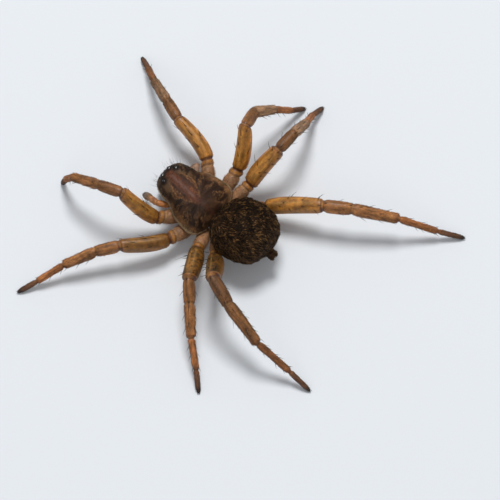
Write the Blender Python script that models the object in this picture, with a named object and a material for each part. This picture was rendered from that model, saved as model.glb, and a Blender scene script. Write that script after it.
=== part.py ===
"""Wolf spider, a still life-size figure standing on its eight feet.

The head faces -Y, the animal's left side is +X, the floor is z = 0.
All lengths below are in millimetres and are turned to metres when a mesh is finished.
"""
import math

import bmesh
import bpy
from mathutils import Matrix, Vector

MM = 0.001
GAP = 0.03            # half of the thin cut kept between two neighbouring solids
ASSEMBLY = "WolfSpider"

# ---- prosoma -------------------------------------------------------------------
MARGIN_Z = 2.36       # underside of the head and thorax shield
RIM = 0.10            # upright rim of the shield
SHIELD_ARC = 8        # facets on each half of the arched shield
# along the body: y, sideways place of the middle, half width at the margin, height of the crest,
# roundness
SHIELD_STATIONS = (
    (-4.94, -0.03, 0.74, 2.90, 2.9), (-4.88, -0.05, 0.92, 3.06, 2.9), (-4.72, -0.09, 1.18, 3.24, 2.8),
    (-4.40, -0.12, 1.47, 3.46, 2.7), (-3.95, -0.07, 1.65, 3.62, 2.6), (-3.30, -0.02, 1.80, 3.72, 2.4),
    (-2.80, 0.03, 1.90, 3.72, 2.3), (-2.50, 0.04, 2.09, 3.70, 2.2), (-2.10, 0.09, 2.33, 3.68, 2.1),
    (-1.70, 0.13, 2.47, 3.66, 2.1), (-0.90, 0.19, 2.62, 3.62, 2.0), (-0.20, 0.24, 2.66, 3.52, 2.0),
    (0.25, 0.27, 2.48, 3.28, 2.0), (0.60, 0.30, 2.06, 2.96, 2.0), (0.78, 0.32, 1.50, 2.70, 2.0),
)
SHIELD_ROLL = 0.18    # lean of the shield to the left for each millimetre of height
STERNUM_TOP, STERNUM_BOTTOM = 2.28, 1.12
STERNUM_EDGE = 0.55   # depth of a plate of no width, as a share of the deepest
STERNUM_STATIONS = ((-2.06, 0.46), (-1.90, 0.66), (-1.60, 0.84), (-1.10, 1.08), (-0.40, 1.26),
                    (0.30, 1.22), (0.90, 1.00), (1.36, 0.68), (1.62, 0.34))
MOUTH_Y = (-3.98, -2.16)
MOUTH_Z = (1.18, 2.26)
MOUTH_HALF_WIDTH = 0.72
MOUTH_GROOVE, MOUTH_GROOVE_WIDTH = 0.22, 0.16

JAW_X = 0.46
JAW_TOP, JAW_BOTTOM = 2.30, 0.72
JAW_Y_TOP, JAW_Y_BOTTOM = -4.50, -4.80
JAW_HALF_WIDTH, JAW_HALF_DEPTH = 0.40, 0.46
# outline of a jaw downward: fraction of the length, fraction of the half width
JAW_FORM = ((0.00, 0.78), (0.12, 0.96), (0.40, 1.00), (0.70, 0.90), (0.90, 0.74), (1.00, 0.52))
FANG_LENGTH, FANG_RADIUS = 0.80, 0.13
FANG_BEND = 70        # degrees that a folded fang turns down
FANG_INSET = 0.14     # how far outside the jaw's middle line the fang hinges
FANG_REACH = 0.72     # inward reach of the folded fang over its length
FANG_BELOW, FANG_DIP = 0.17, 0.16

# eyes: name, sideways, along the body, height, radius
EYES = (
    ("PosteriorMedian", 0.40, -4.66, 3.14, 0.24),
    ("PosteriorLateral", 0.74, -4.18, 3.34, 0.20),
    ("AnteriorMedian", 0.15, -4.87, 2.80, 0.12),
    ("AnteriorLateral", 0.42, -4.85, 2.76, 0.11),
)
EYE_SOCKET_GAP = 0.02

# ---- opisthosoma ---------------------------------------------------------------
ABDOMEN_Y = (0.84, 6.04)
ABDOMEN_HALF_WIDTH = 2.74
ABDOMEN_X = 0.22      # the abdomen is carried a little to the left
ABDOMEN_MID_Z = 3.06
ABDOMEN_UP, ABDOMEN_DOWN = 1.58, 1.50
BELLY_LIFT = (0.55, 1.16)   # depth of the belly in front and behind, over ABDOMEN_DOWN
ABDOMEN_ROUNDNESS = 2.3
ABDOMEN_SIDES, ABDOMEN_RINGS = 22, 13
PEDICEL_RADIUS, PEDICEL_Z = 0.20, 2.50
PEDICEL_Y = (0.82, 0.90, 0.98)
PEDICEL_X = 0.20
# spinnerets: sideways, height, length, radius, droop in degrees
SPINNERETS = ((0.17, 2.52, 0.56, 0.15, -2), (-0.17, 2.52, 0.56, 0.15, -2),
              (0.20, 2.20, 0.50, 0.17, 14), (-0.20, 2.20, 0.50, 0.17, 14))
# the low mound they grow from: front, back, half width, half height
SPINNERET_MOUND = (5.90, 6.10, 0.40, 0.42)

# ---- legs ----------------------------------------------------------------------
LIMB_SIDES = 10
HIP_Z = 1.58
HIPS = {1: (1.30, -1.40), 2: (1.52, -0.38), 3: (1.46, 0.58), 4: (1.12, 1.46)}
# lengths of coxa with trochanter, femur, patella, tibia, metatarsus, tarsus
LENGTHS = {1: (2.60, 4.05, 1.95, 2.80, 2.30, 1.65), 2: (2.65, 4.05, 1.95, 2.75, 2.55, 1.85),
           3: (2.30, 3.75, 1.85, 2.65, 2.55, 1.95), 4: (2.45, 4.75, 2.30, 3.80, 3.50, 2.45)}
# half thickness of coxa, femur, patella, tibia, metatarsus, tarsus
THICKNESS = {1: (0.54, 0.64, 0.48, 0.42, 0.27, 0.25), 2: (0.56, 0.63, 0.49, 0.43, 0.27, 0.25),
             3: (0.52, 0.71, 0.50, 0.44, 0.27, 0.25), 4: (0.52, 0.69, 0.54, 0.49, 0.28, 0.25)}
# how far the middle of a femur bows towards the rear of the body
BOWS = {"L1": 0.19, "R1": 0.28, "L2": 0.21, "R2": 0.19, "L3": 0.06, "R3": -0.14, "L4": 0.06, "R4": -0.15}
BOW_SKEW = 0.75       # below 1 moves the fullest point of the bow towards the body
DEPTH = (1.00, 1.18, 1.14, 1.06)   # depth over width of coxa, femur, patella and tibia
FOOT_CENTRE_Z = 0.20  # centre of the rounded toe; the sole is cut flat at the floor
# sweep of each part seen from above, degrees back from straight out to the side
SWEEPS = {"L1": (-42, -68, -74, -84, -101, -103), "R1": (-41, -74, -67, -62, -55, -59),
          "L2": (-19, -38, -40, -34, -27, -28), "R2": (-4, -22, -15, 15, 19, 17),
          "L3": (18, 28, 39, 41, 48, 45), "R3": (10, 12, 4, -9, -19, -3),
          "L4": (33, 36, 69, 79, 96, 92), "R4": (44, 58, 60, 59, 59, 57)}
# rise of each part above level, degrees; the last part is led down to the floor
RISES = {"L1": (9, 46, -2, -27, -62), "R1": (14, 14, -1, -23, -32),
         "L2": (6, 10, -6, -15, -22), "R2": (19, 57, -24, -43, -49),
         "L3": (15, 26, -20, -24, -26), "R3": (16, 38, 7, -40, -46),
         "L4": (10, 45, -14, -25, -33), "R4": (9, 15, 2, -12, -25)}

# outline of each part along its length: fraction of the length, fraction of the half thickness
COXA_FORM = ((0.00, 0.62), (0.12, 0.76), (0.42, 0.98), (0.68, 1.00), (0.76, 0.84),
             (0.84, 0.92), (0.95, 0.88), (1.00, 0.80))
FEMUR_FORM = ((0.00, 0.66), (0.05, 0.86), (0.18, 0.98), (0.42, 1.00), (0.72, 0.94),
              (0.93, 0.83), (1.00, 0.70))
PATELLA_FORM = ((0.00, 0.78), (0.14, 0.95), (0.50, 1.00), (0.86, 0.92), (1.00, 0.78))
TIBIA_FORM = ((0.00, 0.84), (0.10, 1.00), (0.45, 0.96), (0.80, 0.84), (0.94, 0.82), (1.00, 0.72))
METATARSUS_FORM = ((0.00, 0.90), (0.10, 1.00), (0.85, 0.96), (1.00, 0.90))
TARSUS_FORM = ((0.12, 1.00), (0.60, 1.00))      # the toe's own rings carry on from here

PALP_RADIUS = 0.26
# middle line of each feeler from its root to its tip, and its thickness at those points
PALP_PATHS = {
    "L": ((1.02, -2.86, 1.62), (1.72, -3.20, 1.76), (2.08, -4.00, 1.76), (1.92, -4.82, 1.36),
          (1.78, -5.40, 0.90)),
    "R": ((-1.02, -2.86, 1.62), (-1.84, -3.24, 1.66), (-2.58, -3.62, 1.44), (-2.06, -4.00, 0.90),
          (-1.48, -4.42, 0.58)),
}
PALP_FORM = (0.92, 1.02, 1.08, 1.14, 1.04)

COLOURS = {
    "shield": (0.060, 0.032, 0.020), "sternum": (0.110, 0.060, 0.030),
    "mouth": (0.160, 0.080, 0.040), "jaw": (0.085, 0.040, 0.024), "fang": (0.030, 0.012, 0.008),
    "eye": (0.006, 0.006, 0.007), "abdomen": (0.065, 0.042, 0.026), "pedicel": (0.180, 0.110, 0.060),
    "spinneret": (0.150, 0.090, 0.050), "palp": (0.260, 0.110, 0.045), "coxa": (0.250, 0.140, 0.085),
    "femur": (0.330, 0.165, 0.055), "patella": (0.260, 0.120, 0.050), "tibia": (0.240, 0.105, 0.042),
    "foot": (0.230, 0.085, 0.032),
}
ROUGHNESS = {"eye": 0.05, "fang": 0.25, "abdomen": 0.8, "shield": 0.45}


def new_collection(name, hidden=False):
    """Make a collection linked to the scene."""
    coll = bpy.data.collections.new(name)
    bpy.context.scene.collection.children.link(coll)
    coll.hide_render = hidden
    return coll


def material(name, kind):
    """Give one named Principled material the colour of its kind of part."""
    mat = bpy.data.materials.new(name)
    mat.use_nodes = True
    shader = mat.node_tree.nodes["Principled BSDF"]
    shader.inputs["Base Color"].default_value = (*COLOURS[kind], 1.0)
    shader.inputs["Roughness"].default_value = ROUGHNESS.get(kind, 0.4)
    return mat


def object_from_bmesh(name, bm, kind, coll, scale=MM):
    """Turn a closed bmesh drawn in millimetres into an object facing outward."""
    bmesh.ops.recalc_face_normals(bm, faces=bm.faces)
    if bm.calc_volume(signed=True) < 0:
        bmesh.ops.reverse_faces(bm, faces=bm.faces)
    mesh = bpy.data.meshes.new(name)
    bm.to_mesh(mesh)
    bm.free()
    mesh.transform(Matrix.Scale(scale, 4))
    obj = bpy.data.objects.new(name, mesh)
    mesh.materials.append(material(name, kind))
    coll.objects.link(obj)
    return obj


def skin_rings(bm, rings):
    """Join equal rings of points with quads and close both ends with a fan about the middle."""
    loops = [[bm.verts.new(p) for p in ring] for ring in rings]
    count = len(loops[0])
    for a, b in zip(loops, loops[1:]):
        for i in range(count):
            j = (i + 1) % count
            bm.faces.new((a[i], a[j], b[j], b[i]))
    for loop in (loops[0], loops[-1]):
        middle = bm.verts.new(sum((v.co for v in loop), Vector()) / count)
        for i in range(count):
            bm.faces.new((loop[i], loop[(i + 1) % count], middle))


# ---- limbs ---------------------------------------------------------------------
def heading(sweep, rise, side):
    """Unit direction from a sweep back from the side and a rise above level, in degrees."""
    s, r = math.radians(sweep), math.radians(rise)
    return Vector((side * math.cos(s) * math.cos(r), math.sin(s) * math.cos(r), math.sin(r)))


def cross_axes(direction):
    """Sideways and upward unit axes square to a limb's direction."""
    across = direction.cross(Vector((0, 0, 1)))
    across = across.normalized() if across.length > 1e-6 else Vector((1, 0, 0))
    return across, across.cross(direction).normalized()


def along_to_plane(point, direction, centre, normal):
    """Slide a point along a direction until it lies in a plane."""
    return point + direction * ((centre - point).dot(normal) / direction.dot(normal))


def rearward(sweep, side):
    """Level unit direction square to a heading, towards the rear of the body."""
    s = math.radians(sweep)
    return Vector((-side * math.sin(s), math.cos(s), 0))


def limb_rings(start, end, form, radius, cut_start, cut_end, taller=1.0, hinge=None, bow=Vector()):
    """Rings between two mitre planes; each line of the limb is shared out between them.

    A bow carries the rings sideways between the two ends."""
    direction = (end - start).normalized()
    across, up = cross_axes(direction)
    if hinge is not None:
        across = (hinge - direction * hinge.dot(direction)).normalized()
        up = across.cross(direction)
    rings = []
    for t, part in form:
        ring = []
        for i in range(LIMB_SIDES):
            turn = math.tau * (i + 0.5) / LIMB_SIDES
            offset = (across * math.cos(turn) + up * (math.sin(turn) * taller)) * (radius * part)
            a = along_to_plane(start + offset, direction, start + cut_start * GAP, cut_start)
            b = along_to_plane(end + offset, direction, end - cut_end * GAP, cut_end)
            ring.append(a.lerp(b, t) + bow * math.sin(math.pi * t ** BOW_SKEW))
        rings.append(ring)
    return rings


def mitre(a, b):
    """Normal of the plane halfway between two directions."""
    return (a + b).normalized()


def joint_points(code):
    """Joints of one leg from the hip to the centre of the toe."""
    side = 1 if code[0] == "L" else -1
    pair = int(code[1])
    x, y = HIPS[pair]
    points = [Vector((side * x, y, HIP_Z))]
    for length, sweep, rise in zip(LENGTHS[pair], SWEEPS[code], RISES[code]):
        points.append(points[-1] + heading(sweep, rise, side) * length)
    toe_length = LENGTHS[pair][5] - THICKNESS[pair][5]
    drop = math.degrees(math.asin((FOOT_CENTRE_Z - points[-1].z) / toe_length))
    points.append(points[-1] + heading(SWEEPS[code][5], drop, side) * toe_length)
    return points


def toe_rings(centre, direction, radius):
    """Rounded end of a foot about the centre of the toe."""
    across, up = cross_axes(direction)
    rings = []
    for lift in (0, 30, 60):
        r, reach = radius * math.cos(math.radians(lift)), radius * math.sin(math.radians(lift))
        rings.append([centre + direction * reach + across * (math.cos(a) * r) + up * (math.sin(a) * r)
                      for a in (math.tau * (i + 0.5) / LIMB_SIDES for i in range(LIMB_SIDES))])
    return rings


def flatten_sole(bm):
    """Cut a foot level with the floor and close the cut."""
    geometry = bm.verts[:] + bm.edges[:] + bm.faces[:]
    cut = bmesh.ops.bisect_plane(bm, geom=geometry, dist=1e-5, plane_co=(0, 0, 0),
                                 plane_no=(0, 0, 1), clear_inner=True)
    rim = [e for e in cut["geom_cut"] if isinstance(e, bmesh.types.BMEdge)]
    bmesh.ops.contextual_create(bm, geom=rim)


def build_leg(code, coll, cutters, shield):
    """Coxa with trochanter, femur, patella, tibia and foot of one leg, and its room in the shield."""
    pair = int(code[1])
    points = joint_points(code)
    ways = [(b - a).normalized() for a, b in zip(points, points[1:])]
    cuts = [ways[0]] + [mitre(a, b) for a, b in zip(ways, ways[1:])] + [ways[-1]]
    thick = THICKNESS[pair]
    hinge = ways[1].cross(ways[3]).normalized()     # the leg bends square to this line
    forms = (("Coxa", "coxa", COXA_FORM), ("Femur", "femur", FEMUR_FORM),
             ("Patella", "patella", PATELLA_FORM), ("Tibia", "tibia", TIBIA_FORM))
    for k, (label, kind, form) in enumerate(forms):
        bm = bmesh.new()
        bow = rearward(SWEEPS[code][k], 1 if code[0] == "L" else -1) * (BOWS[code] if k == 1 else 0)
        skin_rings(bm, limb_rings(points[k], points[k + 1], form, thick[k], cuts[k], cuts[k + 1],
                                  DEPTH[k], hinge if k else None, bow))
        object_from_bmesh(f"Leg_{code}_{label}", bm, kind, coll)
    bm = bmesh.new()
    skin_rings(bm, limb_rings(points[0], points[1], COXA_FORM, thick[0] + 2 * GAP, cuts[0], cuts[1]))
    carve(shield, object_from_bmesh(f"Cut_Coxa_{code}", bm, "coxa", cutters, scale=1.0))
    bm = bmesh.new()
    metatarsus = limb_rings(points[4], points[5], METATARSUS_FORM, thick[4], cuts[4], cuts[5])
    tarsus = limb_rings(points[5], points[6], TARSUS_FORM, thick[5], cuts[5], cuts[6])
    skin_rings(bm, metatarsus + tarsus + toe_rings(points[6], ways[5], thick[5]))
    flatten_sole(bm)
    object_from_bmesh(f"Leg_{code}_Foot", bm, "foot", coll)


def build_palp(side_name, coll):
    """One feeler as a single bent limb with a rounded tip."""
    points = [Vector(p) for p in PALP_PATHS[side_name]]
    ways = [(b - a).normalized() for a, b in zip(points, points[1:])]
    cuts = [ways[0]] + [mitre(a, b) for a, b in zip(ways, ways[1:])] + [ways[-1]]
    rings = []
    for k, (centre, cut) in enumerate(zip(points, cuts)):
        way = ways[max(0, min(k, len(ways) - 1))]
        across, up = cross_axes(way)
        radius = PALP_RADIUS * PALP_FORM[k]
        rings.append([along_to_plane(centre + (across * math.cos(a) + up * math.sin(a)) * radius,
                                     way, centre, cut)
                      for a in (math.tau * (i + 0.5) / LIMB_SIDES for i in range(LIMB_SIDES))])
    rings += toe_rings(points[-1], ways[-1], PALP_RADIUS * PALP_FORM[-1])[1:]
    bm = bmesh.new()
    skin_rings(bm, rings)
    return object_from_bmesh(f"Palp_{side_name}", bm, "palp", coll)


# ---- prosoma -------------------------------------------------------------------
def shield_middle(y):
    """Sideways place of the middle of the shield at a place along the body."""
    for (y0, x0, *_), (y1, x1, *_) in zip(SHIELD_STATIONS, SHIELD_STATIONS[1:]):
        if y <= y1:
            return x0 + (x1 - x0) * max(0.0, (y - y0) / (y1 - y0))
    return SHIELD_STATIONS[-1][1]


def settled(x, y, z):
    """A point of the upright shield, moved to where the leaning shield has it."""
    return Vector((x + shield_middle(y) + SHIELD_ROLL * (z - MARGIN_Z), y, z))


def build_shield(coll):
    """Arched shield of head and thorax: superellipse arcs over a level underside."""
    rings = []
    for y, _, half, crest, power in SHIELD_STATIONS:
        rise = crest - MARGIN_Z - RIM
        ring = [settled(half, y, MARGIN_Z)]
        for i in range(2 * SHIELD_ARC + 1):
            turn = math.pi * i / (2 * SHIELD_ARC)
            cx, cz = math.cos(turn), math.sin(turn)
            x = half * math.copysign(abs(cx) ** (2 / power), cx)
            ring.append(settled(x, y, MARGIN_Z + RIM + rise * abs(cz) ** (2 / power)))
        ring += [settled(-half, y, MARGIN_Z), settled(0, y, MARGIN_Z)]
        rings.append(ring)
    bm = bmesh.new()
    skin_rings(bm, rings)
    return object_from_bmesh("Carapace", bm, "shield", coll, scale=1.0)


def ball(name, centre, radius, segments, rings, kind, coll, scale):
    """A sphere about a centre."""
    bm = bmesh.new()
    bmesh.ops.create_uvsphere(bm, u_segments=segments, v_segments=rings, radius=radius,
                              matrix=Matrix.Translation(centre))
    return object_from_bmesh(name, bm, kind, coll, scale)


def build_head(coll, cutters):
    """The shield with a socket for each of the eight eyes, and the eyes in them."""
    shield = build_shield(coll)
    for label, x, y, z, radius in EYES:
        for side, sign in (("L", 1), ("R", -1)):
            centre = settled(sign * x, y, z)
            cutter = ball(f"Cut_{label}_{side}", centre, radius + EYE_SOCKET_GAP, 10, 6,
                          "eye", cutters, 1.0)
            carve(shield, cutter)
            ball(f"Eye_{label}_{side}", centre, radius, 10, 6, "eye", coll, MM)
    return shield


def carve(obj, cutter, operation="DIFFERENCE"):
    """Take another solid away from this one, or join it on, when the modifiers are baked."""
    cutter.display_type = "WIRE"
    cutter.hide_render = True
    cut = obj.modifiers.new(cutter.name, "BOOLEAN")
    cut.operation, cut.solver, cut.object = operation, "EXACT", cutter


def bake_modifiers(obj):
    """Replace the mesh by its finished form and turn it to metres."""
    bpy.context.view_layer.update()
    graph = bpy.context.evaluated_depsgraph_get()
    done = bpy.data.meshes.new_from_object(obj.evaluated_get(graph), depsgraph=graph)
    obj.modifiers.clear()
    old, name = obj.data, obj.data.name
    obj.data = done
    bpy.data.meshes.remove(old)
    done.name = name
    done.transform(Matrix.Scale(MM, 4))


def build_underside(coll):
    """Sternum plate, and the mouthparts in front of it."""
    deep = (STERNUM_TOP - STERNUM_BOTTOM) / 2
    widest = max(half for _, half in STERNUM_STATIONS)
    sides = 12
    rings = []
    for y, half in STERNUM_STATIONS:
        fullness = STERNUM_EDGE + (1 - STERNUM_EDGE) * half / widest
        rings.append([Vector((half * math.cos(a), y, STERNUM_TOP - deep * fullness * (1 - math.sin(a))))
                      for a in (math.tau * (i + 0.5) / sides for i in range(sides))])
    bm = bmesh.new()
    skin_rings(bm, rings)
    object_from_bmesh("Sternum", bm, "sternum", coll)

    low, high = MOUTH_Z
    middle, deep = (low + high) / 2, (high - low) / 2
    sides, steps = 16, 6
    rings = []
    for k in range(steps + 1):
        t = k / steps
        swell = math.sin(math.pi * (0.16 + 0.68 * t)) ** 0.6
        ring = []
        for i in range(sides):
            a = math.tau * (i + 0.5) / sides
            x, z = MOUTH_HALF_WIDTH * swell * math.cos(a), deep * swell * math.sin(a)
            if z < 0:
                z += MOUTH_GROOVE * (1 - t) * math.exp(-(x / MOUTH_GROOVE_WIDTH) ** 2)
            ring.append(Vector((x, MOUTH_Y[0] + (MOUTH_Y[1] - MOUTH_Y[0]) * t, middle + z)))
        rings.append(ring)
    bm = bmesh.new()
    skin_rings(bm, rings)
    object_from_bmesh("Mouthparts", bm, "mouth", coll)


def build_jaws(coll):
    """Two stout chelicerae hanging under the face, each with a fang folded inward."""
    for side, sign in (("L", 1), ("R", -1)):
        rings = []
        for t, part in JAW_FORM:
            centre = Vector((sign * JAW_X, JAW_Y_TOP + (JAW_Y_BOTTOM - JAW_Y_TOP) * t,
                             JAW_TOP + (JAW_BOTTOM - JAW_TOP) * t))
            rings.append([centre + Vector((JAW_HALF_WIDTH * part * math.cos(a),
                                           JAW_HALF_DEPTH * part * math.sin(a), 0))
                          for a in (math.tau * i / 12 for i in range(12))])
        bm = bmesh.new()
        skin_rings(bm, rings)
        object_from_bmesh(f"Chelicera_{side}", bm, "jaw", coll)

        steps = 6
        rings = []
        for k in range(steps):
            t = k / steps
            bend = math.radians(FANG_BEND * t)
            reach = FANG_LENGTH * FANG_REACH * t
            centre = Vector((sign * (JAW_X + FANG_INSET - reach), JAW_Y_BOTTOM - 0.02 + 0.10 * t,
                             JAW_BOTTOM - FANG_BELOW - FANG_DIP * math.sin(bend)))
            way = Vector((-sign * math.cos(bend * 0.5), 0.1, -math.sin(bend * 0.5) * 0.5)).normalized()
            across, up = cross_axes(way)
            radius = FANG_RADIUS * (1 - 0.80 * t)
            rings.append([centre + (across * math.cos(a) + up * math.sin(a)) * radius
                          for a in (math.tau * i / 8 for i in range(8))])
        bm = bmesh.new()
        skin_rings(bm, rings)
        object_from_bmesh(f"Fang_{side}", bm, "fang", coll)


# ---- opisthosoma ---------------------------------------------------------------
def abdomen_scale(t):
    """How full the abdomen is at a fraction of its length."""
    reach = abs(2 * t - 1)
    return max(0.0, 1 - reach ** ABDOMEN_ROUNDNESS) ** (1 / ABDOMEN_ROUNDNESS)


def abdomen_rings(out=0.0):
    """Rings of the oval abdomen, flatter below; out grows them all round."""
    rings = []
    for k in range(ABDOMEN_RINGS):
        t = 0.5 - 0.5 * math.cos(math.pi * (k + 0.55) / (ABDOMEN_RINGS + 0.1))
        full = abdomen_scale(t)
        belly = ABDOMEN_DOWN * (BELLY_LIFT[0] + (BELLY_LIFT[1] - BELLY_LIFT[0]) * t)
        ring = []
        for i in range(ABDOMEN_SIDES):
            a = math.tau * i / ABDOMEN_SIDES
            tall = ABDOMEN_UP if math.sin(a) > 0 else belly
            ring.append(Vector((ABDOMEN_X + (ABDOMEN_HALF_WIDTH * full + out) * math.cos(a),
                                ABDOMEN_Y[0] + (ABDOMEN_Y[1] - ABDOMEN_Y[0]) * t + out * (2 * t - 1),
                                ABDOMEN_MID_Z + (tall * full + out) * math.sin(a))))
        rings.append(ring)
    return rings


def build_abdomen(coll):
    """The abdomen and the short stalk that it hangs from."""
    bm = bmesh.new()
    skin_rings(bm, abdomen_rings())
    object_from_bmesh("Abdomen", bm, "abdomen", coll)

    bm = bmesh.new()
    skin_rings(bm, [[Vector((PEDICEL_X + PEDICEL_RADIUS * math.cos(a), y,
                             PEDICEL_Z + PEDICEL_RADIUS * math.sin(a)))
                     for a in (math.tau * i / 12 for i in range(12))] for y in PEDICEL_Y])
    object_from_bmesh("Pedicel", bm, "pedicel", coll)


def cone_rings(base, way, radius, length, sides):
    """Rings of a blunt cone from its base, with a rounded tip."""
    across, up = cross_axes(way)
    return [[base + way * (length * t) + (across * math.cos(a) + up * math.sin(a)) * (radius * part)
             for a in (math.tau * i / sides for i in range(sides))]
            for t, part in ((0.0, 1.0), (0.6, 0.9), (0.9, 0.62))]


def build_spinnerets(coll, cutters):
    """Four blunt spinnerets joined to a low mound at the end of the abdomen."""
    front, back, half, tall = SPINNERET_MOUND
    middle = sum(s[1] for s in SPINNERETS) / len(SPINNERETS)
    rings = [[Vector((ABDOMEN_X + half * part * math.cos(a), y, middle + tall * part * math.sin(a)))
              for a in (math.tau * i / 14 for i in range(14))]
             for y, part in ((front, 1.0), ((front + back) / 2, 0.96), (back, 0.72))]
    bm = bmesh.new()
    skin_rings(bm, rings)
    mound = object_from_bmesh("Spinnerets", bm, "spinneret", coll, scale=1.0)
    for k, (x, z, length, radius, droop) in enumerate(SPINNERETS):
        tip = math.radians(-droop)
        way = Vector((0, math.cos(tip), math.sin(tip)))
        bm = bmesh.new()
        skin_rings(bm, cone_rings(Vector((ABDOMEN_X + x, (front + back) / 2, z)), way, radius, length, 8))
        carve(mound, object_from_bmesh(f"Join_Spinneret_{k + 1}", bm, "spinneret", cutters, scale=1.0),
              "UNION")
    bm = bmesh.new()
    skin_rings(bm, abdomen_rings(2 * GAP))
    carve(mound, object_from_bmesh("Cut_Abdomen", bm, "abdomen", cutters, scale=1.0))
    bake_modifiers(mound)


def centre_over_floor(coll):
    """Move every part sideways so that the middle of the whole figure is over the origin."""
    corners = [v.co for obj in coll.objects for v in obj.data.vertices]
    middle = [(min(c[k] for c in corners) + max(c[k] for c in corners)) / 2 for k in (0, 1)]
    for obj in coll.objects:
        obj.data.transform(Matrix.Translation((-middle[0], -middle[1], 0)))


def build_all():
    """Clear the scene and build every part of the spider."""
    for obj in list(bpy.data.objects):
        bpy.data.objects.remove(obj, do_unlink=True)
    coll = new_collection(ASSEMBLY)
    cutters = new_collection("Cutters", hidden=True)
    shield = build_head(coll, cutters)
    build_underside(coll)
    build_jaws(coll)
    build_abdomen(coll)
    build_spinnerets(coll, cutters)
    for side in "LR":
        build_palp(side, coll)
        for pair in (1, 2, 3, 4):
            build_leg(f"{side}{pair}", coll, cutters, shield)
    bake_modifiers(shield)
    centre_over_floor(coll)


build_all()
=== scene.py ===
"""Looks of a still, life-size wolf spider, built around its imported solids.

Lengths are in millimetres in the maker's frame: the head faces -Y, the spider's left is +X and
the floor is z = 0. `place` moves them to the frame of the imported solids, in metres.
"""
import math

import bpy
import numpy as np
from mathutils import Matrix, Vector


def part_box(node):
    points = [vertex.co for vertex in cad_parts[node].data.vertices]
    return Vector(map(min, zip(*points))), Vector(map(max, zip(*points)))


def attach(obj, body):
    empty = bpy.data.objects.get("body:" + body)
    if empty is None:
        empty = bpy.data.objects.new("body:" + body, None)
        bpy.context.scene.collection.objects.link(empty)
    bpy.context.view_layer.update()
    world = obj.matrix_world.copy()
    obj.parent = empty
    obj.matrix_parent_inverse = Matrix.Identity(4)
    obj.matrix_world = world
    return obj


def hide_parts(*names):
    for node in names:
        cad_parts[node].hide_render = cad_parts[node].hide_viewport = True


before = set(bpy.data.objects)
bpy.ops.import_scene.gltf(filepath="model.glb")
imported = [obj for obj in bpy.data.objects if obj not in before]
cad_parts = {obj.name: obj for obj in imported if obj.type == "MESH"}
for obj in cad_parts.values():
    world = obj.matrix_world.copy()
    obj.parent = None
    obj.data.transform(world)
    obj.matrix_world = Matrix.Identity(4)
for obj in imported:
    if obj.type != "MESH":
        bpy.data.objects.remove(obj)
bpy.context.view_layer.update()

bl_info = {
    "name": "Wolf spider, still figure",
    "version": (1, 0, 0),
    "blender": (4, 5, 0),
    "location": "3D View > Sidebar > Wolf spider",
    "description": "Skins, coats, spines, eyes and claws of a life-size wolf spider, with its stage",
    "category": "Object",
}

MM = 0.001
TAU = math.tau

# ---- driving dimensions of the solids ------------------------------------------------------
MARGIN_Z, RIM = 2.36, 0.10
# along the head and thorax shield: y, place of the middle, half width, height of the crest, roundness
SHIELD = np.array((
    (-4.94, -0.03, 0.74, 2.90, 2.9), (-4.88, -0.05, 0.92, 3.06, 2.9), (-4.72, -0.09, 1.18, 3.24, 2.8),
    (-4.40, -0.12, 1.47, 3.46, 2.7), (-3.95, -0.07, 1.65, 3.62, 2.6), (-3.30, -0.02, 1.80, 3.72, 2.4),
    (-2.80, 0.03, 1.90, 3.72, 2.3), (-2.50, 0.04, 2.09, 3.70, 2.2), (-2.10, 0.09, 2.33, 3.68, 2.1),
    (-1.70, 0.13, 2.47, 3.66, 2.1), (-0.90, 0.19, 2.62, 3.62, 2.0), (-0.20, 0.24, 2.66, 3.52, 2.0),
    (0.25, 0.27, 2.48, 3.28, 2.0), (0.60, 0.30, 2.06, 2.96, 2.0), (0.78, 0.32, 1.50, 2.70, 2.0)))
SHIELD_MIDDLE, SHIELD_HALF, SHIELD_CREST, SHIELD_POWER = 1, 2, 3, 4
SHIELD_ROLL = 0.18    # lean of the shield to the left for each millimetre of height
STERNUM = np.array(((-2.06, 0.46), (-1.90, 0.66), (-1.60, 0.84), (-1.10, 1.08), (-0.40, 1.26),
                    (0.30, 1.22), (0.90, 1.00), (1.36, 0.68), (1.62, 0.34)))
STERNUM_TOP, STERNUM_BOTTOM, STERNUM_EDGE = 2.28, 1.12, 0.55
MOUTH_Y, MOUTH_Z, MOUTH_HALF_WIDTH = (-3.98, -2.16), (1.18, 2.26), 0.72
MOUTH_GROOVE, MOUTH_GROOVE_WIDTH = 0.22, 0.16
JAW_X, JAW_Z, JAW_Y = 0.46, (2.30, 0.72), (-4.50, -4.80)
JAW_HALF_WIDTH, JAW_HALF_DEPTH = 0.40, 0.46
JAW_FORM = ((0.00, 0.78), (0.12, 0.96), (0.40, 1.00), (0.70, 0.90), (0.90, 0.74), (1.00, 0.52))
FANG_LENGTH, FANG_RADIUS, FANG_BEND = 0.80, 0.13, 70
FANG_INSET, FANG_REACH, FANG_BELOW, FANG_DIP = 0.14, 0.72, 0.17, 0.16
# eyes: name, sideways, along the body, height, radius
EYES = (("PosteriorMedian", 0.40, -4.66, 3.14, 0.24), ("PosteriorLateral", 0.74, -4.18, 3.34, 0.20),
        ("AnteriorMedian", 0.15, -4.87, 2.80, 0.12), ("AnteriorLateral", 0.42, -4.85, 2.76, 0.11))
ABDOMEN_Y, ABDOMEN_HALF_WIDTH, ABDOMEN_MID_Z = (0.84, 6.04), 2.74, 3.06
ABDOMEN_X = 0.22      # the abdomen is carried a little to the left
ABDOMEN_UP, ABDOMEN_DOWN, BELLY_LIFT, ABDOMEN_ROUNDNESS = 1.58, 1.50, (0.55, 1.16), 2.3
PEDICEL_RADIUS, PEDICEL_X, PEDICEL_Z, PEDICEL_Y = 0.20, 0.20, 2.50, (0.82, 0.98)
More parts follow.
